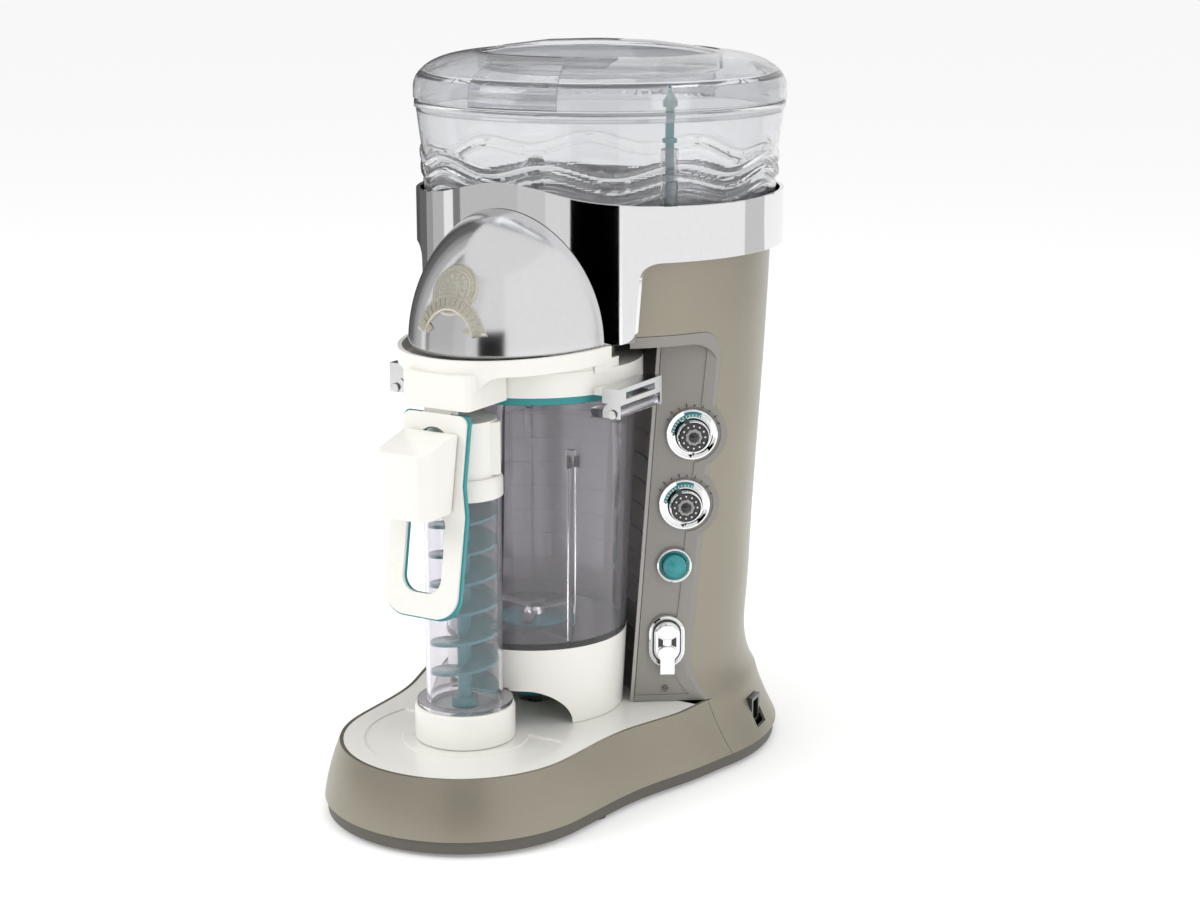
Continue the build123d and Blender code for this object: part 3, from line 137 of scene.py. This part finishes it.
def clear_material(name, colour, rough=0.02, ior=1.35, clarity=0.93):
    """Clear injection-moulded plastic, a little hazy, with faint flow lines in its gloss."""
    mat, tree, shader = blank(name)
    shader.inputs["Transmission Weight"].default_value = clarity
    shader.inputs["IOR"].default_value = ior
    broad = object_noise(tree, 30.0, 3.0, (1, 1, 0.25))
    vary_colour(tree, shader, colour, broad, 0.012)
    vary_roughness(tree, shader, rough * 0.6, rough * 1.6, broad)
    add_bump(tree, shader, broad, 0.04, 0.002)
    return mat


MATERIALS = {
    "bronze_paint": solid_material(
        "bronze_paint", (0.30, 0.275, 0.218), 0.40,
        metal=0.72, grain=2600, spread=0.10, coat=0.15
    ),
    "dark_base": solid_material("dark_base", (0.10, 0.092, 0.078), 0.55),
    "taupe_plastic": solid_material(
        "taupe_plastic", (0.27, 0.255, 0.235), 0.46,
        metal=0.35, grain=1900, spread=0.06, bump=0.12
    ),
    "bay_plastic": solid_material(
        "bay_plastic", (0.36, 0.34, 0.325), 0.36,
        metal=0.45, grain=1800, bump=0.03
    ),
    "white_plastic": solid_material(
        "white_plastic", (0.78, 0.77, 0.725), 0.30,
        grain=900, spread=0.012, bump=0.02, coat=0.2
    ),
    "clear_plastic": clear_material("clear_plastic", (0.885, 0.89, 0.905), ior=1.45, clarity=0.95),
    "tinted_plastic": clear_material("tinted_plastic", (0.90, 0.885, 0.925), ior=1.42, clarity=0.955),
    "satin_chrome": solid_material(
        "satin_chrome", (0.76, 0.76, 0.77), 0.16,
        metal=1.0, grain=220, spread=0.01, bump=0.0, wear=0.02
    ),
    "chrome": solid_material(
        "chrome", (0.86, 0.86, 0.865), 0.05,
        metal=1.0, grain=300, spread=0.01, bump=0.0
    ),
    "badge_metal": solid_material(
        "badge_metal", (0.60, 0.57, 0.49), 0.34,
        metal=0.9, grain=900, spread=0.12, bump=0.2
    ),
    "teal_plastic": solid_material(
        "teal_plastic", (0.018, 0.26, 0.275), 0.26,
        grain=900, spread=0.04, bump=0.03, coat=0.3
    ),
    "teal_rubber": solid_material("teal_rubber", (0.016, 0.24, 0.25), 0.5, grain=1300, bump=0.1),
    "black_plastic": solid_material(
        "black_plastic", (0.012, 0.012, 0.013), 0.22,
        grain=900, bump=0.02, coat=0.4
    ),
    "black_rubber": solid_material("black_rubber", (0.02, 0.02, 0.02), 0.7, grain=1200, bump=0.15),
    "steel": solid_material(
        "steel", (0.66, 0.66, 0.66), 0.22,
        metal=1.0, grain=500, spread=0.06, stretch=(1, 1, 14)
    ),
    "motor_steel": solid_material("motor_steel", (0.30, 0.31, 0.33), 0.42, metal=0.6, grain=900),
    "grey_plastic": solid_material("grey_plastic", (0.28, 0.28, 0.28), 0.55, grain=1500, bump=0.12),
    "nylon": solid_material("nylon", (0.78, 0.77, 0.70), 0.45, grain=900),
    "board_green": solid_material("board_green", (0.015, 0.12, 0.05), 0.35, grain=500, coat=0.4),
    "brass": solid_material("brass", (0.72, 0.55, 0.24), 0.26, metal=1.0, grain=700),
    "lamp_lens": clear_material("lamp_lens", (0.95, 0.86, 0.72), 0.12, 1.45),
}


NODE_CREASE = 32.0    # angle between faces, in degrees, from which an edge stays visible

# ---------------------------------------------------------------- finishing the CAD nodes
def shade(mesh, angle):
    """Smooth faces, with sharp edges where they meet at more than the angle."""
    for face in mesh.polygons:
        face.use_smooth = True
    mesh.set_sharp_from_angle(angle=math.radians(angle))


def round_edges(piece, width, segments, angle):
    """Rounded edges, their width in millimetres."""
    rounding = piece.modifiers.new("rounding", "BEVEL")
    rounding.width = width * MM
    rounding.segments = segments
    rounding.limit_method = "ANGLE"
    rounding.angle_limit = math.radians(angle)
    rounding.harden_normals = True
    rounding.use_clamp_overlap = True


def dress(node, bevel):
    """A copy of the CAD node with merged faces and softened edges, bevel in millimetres."""
    source = frame["nodes"][node]
    mesh = source.data.copy()
    mesh.name = node + "_finish"
    if "custom_normal" in mesh.attributes:
        mesh.attributes.remove(mesh.attributes["custom_normal"])
    work = bmesh.new()
    work.from_mesh(mesh)
    bmesh.ops.remove_doubles(work, verts=work.verts, dist=MM / 1000)
    bmesh.ops.dissolve_limit(work, angle_limit=math.radians(0.4), verts=work.verts, edges=work.edges)
    work.to_mesh(mesh)
    work.free()
    piece = bpy.data.objects.new(node + "_finish", mesh)
    bpy.context.collection.objects.link(piece)
    shade(mesh, NODE_CREASE)
    if bevel > 0:
        round_edges(piece, bevel, 3, NODE_CREASE)
    mesh.materials.clear()
    return attach(piece, node, OTHER_FINISH.get(node))


# ---------------------------------------------------------------- mesh building, in millimetres
def skin(loops, ring):
    """Points and faces of a tube through closed loops of equal length; a ring joins its ends."""
    points = [p for loop in loops for p in loop]
    size = len(loops[0])
    spans = len(loops) if ring else len(loops) - 1
    faces = []
    for i in range(spans):
        a = i * size
        b = ((i + 1) % len(loops)) * size
        for j in range(size):
            k = (j + 1) % size
            faces.append((a + j, a + k, b + k, b + j))
    if not ring:
        faces.append(tuple(reversed(range(size))))
        faces.append(tuple(range(len(points) - size, len(points))))
    return points, faces


def build(name, loops, where=None, ring=False, angle=35.0, bevel=0.0):
    """Object from closed loops of points, placed by a matrix whose translation is in millimetres."""
    points, faces = skin(loops, ring)
    where = where or Matrix.Identity(4)
    mesh = bpy.data.meshes.new(name)
    mesh.from_pydata([tuple(MM * c for c in where @ Vector(p)) for p in points], [], faces)
    work = bmesh.new()
    work.from_mesh(mesh)
    bmesh.ops.recalc_face_normals(work, faces=work.faces)
    work.to_mesh(mesh)
    work.free()
    piece = bpy.data.objects.new(name, mesh)
    bpy.context.collection.objects.link(piece)
    shade(mesh, angle)
    if bevel > 0:
        round_edges(piece, bevel, 2, angle)
    return piece


def circle(r, z, steps, x, y):
    """Level loop of points round (x, y)."""
    turn = math.tau / steps
    return [(x + r * math.cos(i * turn), y + r * math.sin(i * turn), z) for i in range(steps)]


def lathe(name, outline, where=None, steps=96, x=0.0, y=0.0, ring=False, angle=35.0):
    """Turned piece from (radius, height) corners; a ring's outline closes on itself."""
    return build(name, [circle(max(r, 0.01), z, steps, x, y) for r, z in outline], where, ring, angle)


def capsule(width, height, inset, z):
    """Level loop with straight flanks and round ends, a given inset inside its full size."""
    r = width / 2 - inset
    rise = height / 2 - width / 2
    loop = []
    for end, start in ((1, 0.0), (-1, math.pi)):
        for i in range(25):
            a = start + math.pi * i / 24
            loop.append((r * math.cos(a), end * rise + r * math.sin(a), z))
    return loop


def polygon(corners, z):
    """Level loop through the corners."""
    return [(x, y, z) for x, y in corners]


def attach(piece, node, slot=None, stands_for=True):
    """Gives a piece its finish and lets it ride with the body of a CAD node."""
    finish = slot or SLOT_OF[node]
    piece.data.materials.append(MATERIALS[finish])
    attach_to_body(piece, BODY_OF[node])
    if stands_for:
        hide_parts(node)
    return piece


# ---------------------------------------------------------------- controls on the right cheek
CHEEK = math.radians(35.0)
CHEEK_ORIGIN = Vector((70.0, 7.0, 0.0))
ALONG = Vector((math.cos(CHEEK), math.sin(CHEEK), 0.0))
OUTWARD = Vector((math.sin(CHEEK), -math.cos(CHEEK), 0.0))
DIALS = {"upper_dial": (38.5, 249.5), "lower_dial": (33.5, 198.8)}
BUTTON = (26.5, 154.0)
ROCKER = (21.5, 97.5)


def on_cheek(along, height):
    """Frame on the cheek: X along it, Y up, Z out of its face."""
    turn = Matrix((ALONG, Vector((0, 0, 1)), OUTWARD)).transposed().to_4x4()
    return Matrix.Translation(CHEEK_ORIGIN + ALONG * along + Vector((0, 0, height))) @ turn


def arc_strip(name, r_in, r_out, from_deg, to_deg, low, high, where, steps=24):
    """Raised strip that follows part of a circle."""
    loops = []
    for i in range(steps + 1):
        a = math.radians(from_deg + (to_deg - from_deg) * i / steps)
        c, s = math.cos(a), math.sin(a)
        loops.append([(r_in * c, r_in * s, low), (r_out * c, r_out * s, low),
                      (r_out * c, r_out * s, high), (r_in * c, r_in * s, high)])
    return build(name, loops, where)


def make_dial_surround(node, where):
    """Dished chrome ring with a raised inner wall, a step, a scale and marks round it."""
    rim = [(18.5, 0.05), (18.5, 1.5), (17.9, 2.4), (16.8, 2.8), (15.6, 2.4), (14.2, 1.9), (13.9, 3.4),
           (13.2, 4.6), (12.5, 4.8), (12.4, 4.2), (12.4, 0.05)]
    attach(lathe(node + "_surround", rim, where, ring=True), "control_bezels")
    attach(arc_strip(node + "_step", 14.4, 18.3, 112, 176, 1.8, 3.5, where), "control_bezels")
    scale = arc_strip(node + "_scale", 12.6, 15.4, 66, 172, 2.2, 3.9, where)
    attach(scale, "control_bezels", "teal_plastic")
    for i in range(11):
        tick = 70 + 9.6 * i
        mark = arc_strip(f"{node}_tick_{i}", 13.2, 14.9, tick, tick + 2.2, 3.8, 4.05, where, 1)
        attach(mark, "control_bezels", "white_plastic")
    for i in range(9):
        side = 20 + 16 * i
        mark = arc_strip(f"{node}_range_{i}", 19.6, 21.0 + i % 2, side, side + 1.6, -0.9, 0.08, where, 1)
        attach(mark, "control_bezels", "black_plastic")


def make_dial_knob(node, where):
    """Chrome-skirted knob with a black face, a lobed hub and twelve dots."""
    skirt = [(11.5, 2.1), (11.5, 9.6), (11.2, 10.6), (10.6, 11.0), (10.2, 10.6), (9.9, 10.2), (0, 10.2)]
    attach(lathe(node + "_skirt", skirt, where), node, "chrome")
    face = [(9.9, 10.1), (9.9, 10.7), (9.6, 11.0), (6.4, 11.0), (6.1, 10.6), (0, 10.6)]
    attach(lathe(node + "_face", face, where), node)
    hub = [(3.4, 10.5), (3.3, 11.6), (2.6, 12.3), (1.2, 12.7), (0, 12.8)]
    attach(lathe(node + "_hub", hub, where, 48), node)
    lobes = []
    for r, z in ((5.9, 10.5), (5.7, 11.4), (5.2, 11.7), (4.0, 11.7), (3.6, 10.9)):
        loop = []
        for i in range(90):
            a = math.tau * i / 90
            wide = r + 0.35 * math.cos(9 * a)
            loop.append((wide * math.cos(a), wide * math.sin(a), z))
        lobes.append(loop)
    attach(build(node + "_lobes", lobes, where), node, "grey_plastic")
    for i in range(12):
        a = math.tau * i / 12
        dot = lathe(f"{node}_dot_{i}", [(0.62, 10.9), (0.62, 11.1), (0.4, 11.22), (0, 11.25)], where, 16,
                    8.0 * math.cos(a), 8.0 * math.sin(a))
        attach(dot, node, "white_plastic")
    # black finger tab above, pointer below
    tab = [(-1.9, 8.9), (1.9, 8.9), (1.3, 13.6), (-1.3, 13.6)]
    turned = where @ Matrix.Rotation(math.radians(24), 4, "Z")
    attach(build(node + "_tab", [polygon(tab, 6.0), polygon(tab, 11.8)], turned, bevel=0.5), node)
    pointer = [(-1.6, -10.4), (0, -14.2), (1.6, -10.4)]
    attach(build(node + "_pointer", [polygon(pointer, 7.5), polygon(pointer, 9.0)], where, bevel=0.2), node)


def make_button():
    """Start button with a ringed face, in its chrome surround."""
    where = on_cheek(*BUTTON)
    rim = [(12.8, 0.05), (12.8, 1.8), (12.3, 3.0), (11.4, 3.5), (10.2, 2.9), (9.2, 1.8), (8.7, 1.4),
           (8.6, 0.05)]
    attach(lathe("button_surround", rim, where, ring=True), "control_bezels")
    cap = [(3.0, -9.0), (3.0, -4.0), (8.15, -4.0), (8.15, 4.6), (7.7, 5.5), (6.9, 5.9), (6.3, 5.7),
           (5.9, 5.9), (4.4, 6.7), (2.4, 7.3), (0, 7.5)]
    attach(lathe("start_button_cap", cap, where), "start_button")


def make_rocker():
    """Chrome rocker with a long lower tab, in its chrome surround."""
    where = on_cheek(*ROCKER)
    outline = [(0, 0.05), (0, 1.6), (0.5, 2.6), (1.6, 3.0), (2.6, 2.5), (3.3, 1.5), (3.4, 0.05)]
    loops = [capsule(26.5, 39.0, inset, z) for inset, z in outline]
    attach(build("rocker_surround", loops, where, ring=True), "control_bezels")
    body = [capsule(18.6, 30.0, i, z) for i, z in ((0, 1.3), (0, 3.4), (0.5, 4.3), (1.5, 4.8))]
    attach(build("rocker_body", body, where), "mode_rocker", "chrome")
    # upper pad, lower pad with its tab, and the bar that joins them
    upper = [(-3.2, 2.6), (3.2, 2.6), (7.0, 6.0), (7.2, 10.0), (3.6, 13.2), (-3.6, 13.2), (-7.2, 10.0),
             (-7.0, 6.0)]
    lower = [(-7.2, -9.2), (-6.6, -4.6), (-3.0, -2.4), (3.0, -2.4), (6.6, -4.6), (7.2, -9.2), (5.4, -12.4),
             (5.4, -23.6), (-5.4, -23.6), (-5.4, -12.4)]
    bar = [(-2.0, -4.0), (2.0, -4.0), (2.0, 4.0), (-2.0, 4.0)]
    for name, corners, top in (("upper_pad", upper, 6.4), ("lower_pad", lower, 7.0), ("bar", bar, 5.7)):
        pad = build("rocker_" + name, [polygon(corners, 4.6), polygon(corners, top)], where, bevel=0.7)
        attach(pad, "mode_rocker", "chrome")
    # black sheets beside the bar: painted shade standing in for the wells between the pads
    for i, side in enumerate((-1, 1)):
        well = [(side * 3.0, -2.0), (side * 6.6, -3.6), (side * 6.6, 4.0), (side * 3.0, 2.0)]
        dark = build(f"rocker_well_shade_{i}", [polygon(well, 4.5), polygon(well, 4.95)], where)
        attach(dark, "mode_rocker", "black_plastic")


# ---------------------------------------------------------------- badge on the dome
DOME_CENTRE = Vector((0.0, -32.0, 321.0))
DOME_RADII = Vector((70.5, 95.0, 95.0))
BADGE_AT = Vector((0.0, -115.6, 364.2))
BADGE_PITCH = math.radians(44.0)
MEDALLION_R = 17.2
BANNER_DROP = 34.6
BANNER_R = 25.1
BANNER_HALF = 66.0    # half of the banner's arc, in degrees


def on_dome(x, y, lift):
    """Point above the dome's face, x across and y up from the badge's middle."""
    out = Vector((0, -math.cos(BADGE_PITCH), math.sin(BADGE_PITCH)))
    up = Vector((0, math.sin(BADGE_PITCH), math.cos(BADGE_PITCH)))
    start = BADGE_AT + Vector((x, 0, 0)) + up * y - DOME_CENTRE
    a = sum((out[i] / DOME_RADII[i]) ** 2 for i in range(3))
    b = 2 * sum(out[i] * start[i] / DOME_RADII[i] ** 2 for i in range(3))
    c = sum((start[i] / DOME_RADII[i]) ** 2 for i in range(3)) - 1
    reach = (-b + math.sqrt(max(b * b - 4 * a * c, 0.0))) / (2 * a)
    return DOME_CENTRE + start + out * (reach + lift)


def on_banner(r, a, lift):
    """Point of the banner, on a radius and an angle about the middle of its arc."""
    return tuple(on_dome(r * math.sin(a), r * math.cos(a) - BANNER_DROP, lift))


def medallion_relief(r, a):
    """Height of the medallion's face: two rims, a ring of beads, twelve rays and a middle disc."""
    rims = 0.8 * math.exp(-((r - 16.0) / 0.7) ** 2) + 0.5 * math.exp(-((r - 11.4) / 0.5) ** 2)
    beads = 0.45 * math.exp(-((r - 13.7) / 0.9) ** 2) * (0.5 + 0.5 * math.cos(36 * a))
    rays = 0.45 * (0.5 + 0.5 * math.cos(12 * a)) * math.exp(-((r - 8.0) / 2.2) ** 2)
    disc = 0.7 * math.exp(-(r / 4.2) ** 4)
    return 0.9 + rims + beads + rays + disc


def make_medallion():
    """Blank round medallion, its first loop sunk into the dome."""
    loops = []
    for i in range(35):
        r = MEDALLION_R if i < 2 else MEDALLION_R * (1 - (i - 2) / 32.2)
        loop = []
        for j in range(144):
            a = math.tau * j / 144
            lift = -0.4 if i == 0 else medallion_relief(r, a)
            loop.append(tuple(on_dome(r * math.cos(a), r * math.sin(a), lift)))
        loops.append(loop)
    attach(build("badge_medallion", loops, angle=50), "badge")


def make_banner():
    """Folded banner with raised dashes in place of letters."""
    section = ((-5.0, -0.3), (-5.0, 1.8), (-4.4, 2.3), (-3.6, 1.9), (0.0, 2.0), (3.6, 1.9), (4.4, 2.3),
               (5.0, 1.8), (5.0, -0.3))
    loops = []
    for i in range(45):
        a = math.radians(-BANNER_HALF + 2 * BANNER_HALF * i / 44)
        loops.append([on_banner(BANNER_R + d, a, h) for d, h in section])
    attach(build("badge_banner", loops, angle=50), "badge")
    # folded tails at the banner's ends
    for i, side in enumerate((-1, 1)):
        loops = []
        for k in range(8):
            a = math.radians(side * (BANNER_HALF - 5 - 1.6 * k))
            inner = BANNER_R - 5.2 - 0.35 * k
            loops.append([on_banner(inner + d, a, h)
                          for d, h in ((-2.6, -0.3), (-2.6, 1.1), (2.6, 1.5), (2.6, -0.3))])
        attach(build(f"badge_tail_{i}", loops, angle=50), "badge")
    for i in range(13):
        a = math.radians(-54 + 9 * i)
        loops = []
        for d in (-2.5, 2.5):
            loops.append([on_banner(BANNER_R + d, a + w, h)
                          for w, h in ((-0.022, 1.7), (0.022, 1.7), (0.022, 2.6), (-0.022, 2.6))])
        attach(build(f"badge_dash_{i}", loops, angle=50), "badge")


# ---------------------------------------------------------------- ice reservoir
RES_OUTER = ((119.0, 388.0), (125.0, 394.0), (126.0, 419.0), (127.0, 433.0), (130.0, 454.0), (132.0, 470.0))
RES_WALL = 2.5
RIM_TOP = 477.0
WAVES = 9
WAVE_HEIGHT = 4.2
WAVE_SWELLS = ((418.0, 1.8), (428.5, 3.0), (438.0, 2.4))    # height and size of each ridge


def reservoir_radius(z):
    """Outer radius of the tapered wall at a height."""
    for (r0, z0), (r1, z1) in zip(RES_OUTER, RES_OUTER[1:]):
        if z <= z1:
            return r0 + (r1 - r0) * (z - z0) / (z1 - z0)
    return RES_OUTER[-1][0]


def wavy_loop(r, z, inward):
    """Circle whose radius swells where it crosses the moulded waves."""
    loop = []
    for i in range(288):
        a = math.tau * i / 288
        crest = WAVE_HEIGHT * math.sin(WAVES * a + 0.9)
        swell = 0.0
        for level, size in WAVE_SWELLS:
            swell += size * math.exp(-((z - level - crest) / 2.3) ** 2)
        swell -= 1.5 * math.exp(-((z - 433.2 - crest) / 1.7) ** 2)
        wide = r + swell * (0.75 if inward else 1.0)
        loop.append((wide * math.cos(a), RES_Y + wide * math.sin(a), z))
    return loop


def make_reservoir():
    """Clear bowl with moulded waves, and the guide tube for the interlock rod."""
    outside = [(reservoir_radius(z), z) for z in [388 + 1.5 * i for i in range(55)]]
    outside += [(132.2, 471.6), (133.4, 472.4), (133.4, 476.4), (132.8, RIM_TOP), (130.0, RIM_TOP),
                (129.5, 476.4)]
    inside = [(reservoir_radius(z) - RES_WALL, z) for z in [470 - 1.5 * i for i in range(51)]]
    floor = [(119.0, 394.0), (110.0, 393.9), (110.0, 392.0), (14.0, 392.0), (14.0, 388.0)]
    loops = [wavy_loop(r, z, False) for r, z in outside]
    loops += [wavy_loop(r, z, True) for r, z in inside + floor]
    attach(build("reservoir_body", loops, ring=True, angle=60), "ice_reservoir")
    low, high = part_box("interlock_rod")
    x = (low[0] + high[0]) / 2 / MM
    y = (low[1] + high[1]) / 2 / MM
    guide = [(3.3, 392.5), (3.3, 452.0), (5.4, 452.0), (6.0, 451.2), (6.0, 392.5)]
    attach(lathe("rod_guide", guide, steps=48, x=x, y=y, ring=True), "ice_reservoir")


def make_lid_band():
    """Raised grip segments moulded on the lid's flank, at the front and the rear."""
    for name, start, end in (("front", -101.5, -72.0), ("rear", 78.5, 108.0)):
        loops = []
        for i in range(25):
            a = math.radians(start + (end - start) * i / 24)
            c, s = math.cos(a), math.sin(a)
            loops.append([(r * c, RES_Y + r * s, z) for r, z in
                          ((133.0, 478.4), (134.0, 479.0), (134.0, 487.0), (133.0, 492.2), (127.6, 499.4),
                           (114.0, 507.2), (112.0, 506.2), (125.0, 499.0), (131.0, 491.0))])
        attach(build("lid_grip_" + name, loops, angle=40), "reservoir_lid", stands_for=False)


# ---------------------------------------------------------------- every node, plain or rebuilt
REBUILT = {"control_bezels", "upper_dial", "lower_dial", "start_button", "mode_rocker", "badge",
           "ice_reservoir"}
# width of the rounded edges, where it isn't the usual one
SOFT_EDGES = {"dispensing_lever": 1.1, "lever_trim": 0.8, "spout_nozzle": 2.4, "jar_lid": 0.9,
              "chrome_collar": 0.7, "jar_skirt": 0.9, "tube_foot": 0.9, "jar_clip_right": 0.35,
              "jar_clip_left": 0.35, "auger": 0.3, "jar": 0.6, "reservoir_lid": 0.8, "dome": 0.0}
USUAL_EDGE = 0.5
OTHER_FINISH = {"dome": "satin_chrome", "jar": "tinted_plastic", "auger_tube": "tinted_plastic"}

for name in frame["nodes"]:
    if name not in REBUILT:
        dress(name, SOFT_EDGES.get(name, USUAL_EDGE))
for name, place in DIALS.items():
    make_dial_surround(name, on_cheek(*place))
    make_dial_knob(name, on_cheek(*place))
make_button()
make_rocker()
make_medallion()
make_banner()
make_reservoir()
make_lid_band()


# ---------------------------------------------------------------- floor, light and camera
def make_floor(name, half, mat):
    """Level square, half a side given in metres."""
    mesh = bpy.data.meshes.new(name)
    corners = [(-half, -half, 0), (half, -half, 0), (half, half, 0), (-half, half, 0)]
    mesh.from_pydata(corners, [], [(0, 1, 2, 3)])
    mesh.materials.append(mat)
    card = bpy.data.objects.new(name, mesh)
    bpy.context.collection.objects.link(card)


def area_light(name, where, target, power, width, height):
    """Soft box that shows in no reflection."""
    data = bpy.data.lights.new(name, "AREA")
    data.shape = "RECTANGLE"
    data.size = width
    data.size_y = height
    data.energy = power
    lamp = bpy.data.objects.new(name, data)
    lamp.location = where
    aim = Vector(target) - Vector(where)
    lamp.rotation_euler = aim.to_track_quat("-Z", "Y").to_euler()
    lamp.visible_glossy = False
    bpy.context.collection.objects.link(lamp)


def glow_card(name, start, end, grey, radius=1.75, high=2.6):
    """Curved upright card between two angles from the X axis that shows only in reflections."""
    points = []
    for i in range(9):
        a = math.radians(start + (end - start) * i / 8)
        x, y = radius * math.cos(a), radius * math.sin(a)
        points += [(x, y, 0.0), (x, y, high)]
    mesh = bpy.data.meshes.new(name)
    mesh.from_pydata(points, [], [(2 * i, 2 * i + 2, 2 * i + 3, 2 * i + 1) for i in range(8)])
    mat, _, shader = blank(name)
    shader.inputs["Base Color"].default_value = (0, 0, 0, 1)
    shader.inputs["Specular IOR Level"].default_value = 0.0
    shader.inputs["Emission Color"].default_value = (grey, grey, grey, 1)
    shader.inputs["Emission Strength"].default_value = 1.0
    mesh.materials.append(mat)
    card = bpy.data.objects.new(name, mesh)
    card.visible_camera = False
    card.visible_diffuse = False
    card.visible_shadow = False
    card.visible_transmission = False
    bpy.context.collection.objects.link(card)


# start and end angle round the machine, and grey, of the studio's walls
STUDIO_WALLS = (
    (-45, 40, 0.92), (40, 62, 0.62),
    (118, 150, 0.09), (150, 165, 0.14), (165, 175, 0.34), (175, 189, 0.5),
    (189, 199, 0.9), (199, 206, 0.22),
    (206, 250, 0.55), (250, 268, 0.62), (268, 284, 0.74),
)
for number, (start, end, grey) in enumerate(STUDIO_WALLS):
    glow_card(f"wall_{number}", start, end, grey)
glow_card("black_flag", -76, -46, 0.0, radius=1.15, high=0.5)

floor_mat = solid_material("floor_white", (0.88, 0.88, 0.88), 0.6, grain=60, spread=0.004, bump=0.0)
floor_shader = floor_mat.node_tree.nodes["Principled BSDF"]
floor_shader.inputs["Specular IOR Level"].default_value = 0.0
floor_shader.inputs["Emission Color"].default_value = (1, 1, 1, 1)
floor_shader.inputs["Emission Strength"].default_value = 0.2
make_floor("floor", 60.0, floor_mat)

world = bpy.data.worlds.new("studio")
bpy.context.scene.world = world
world.use_nodes = True
background = world.node_tree.nodes["Background"]
background.inputs["Color"].default_value = (1.0, 1.0, 1.0, 1.0)
background.inputs["Strength"].default_value = 0.84

area_light("key", (-1.3, -1.7, 1.5), (0, 0, 0.25), 20, 1.2, 1.2)
area_light("fill", (1.9, -0.5, 0.9), (0, 0, 0.25), 8, 0.9, 1.4)
area_light("top", (0.0, 0.1, 2.0), (0, 0, 0.3), 9, 1.6, 1.6)

CAMERA_AT = (0.84627, -1.36506, 0.6134)
CAMERA_PITCH = 13.375    # degrees below level
CAMERA_TURN = 30.458    # degrees to the right of the machine's front
camera_data = bpy.data.cameras.new("camera")
camera_data.sensor_width = 36.0
camera_data.lens = 69.118
camera_data.clip_end = 50.0
camera = bpy.data.objects.new("camera", camera_data)
camera.location = CAMERA_AT
camera.rotation_euler = (math.radians(90 - CAMERA_PITCH), 0, math.radians(CAMERA_TURN))
bpy.context.collection.objects.link(camera)
bpy.context.scene.camera = camera
bpy.context.scene.view_settings.view_transform = "Standard"
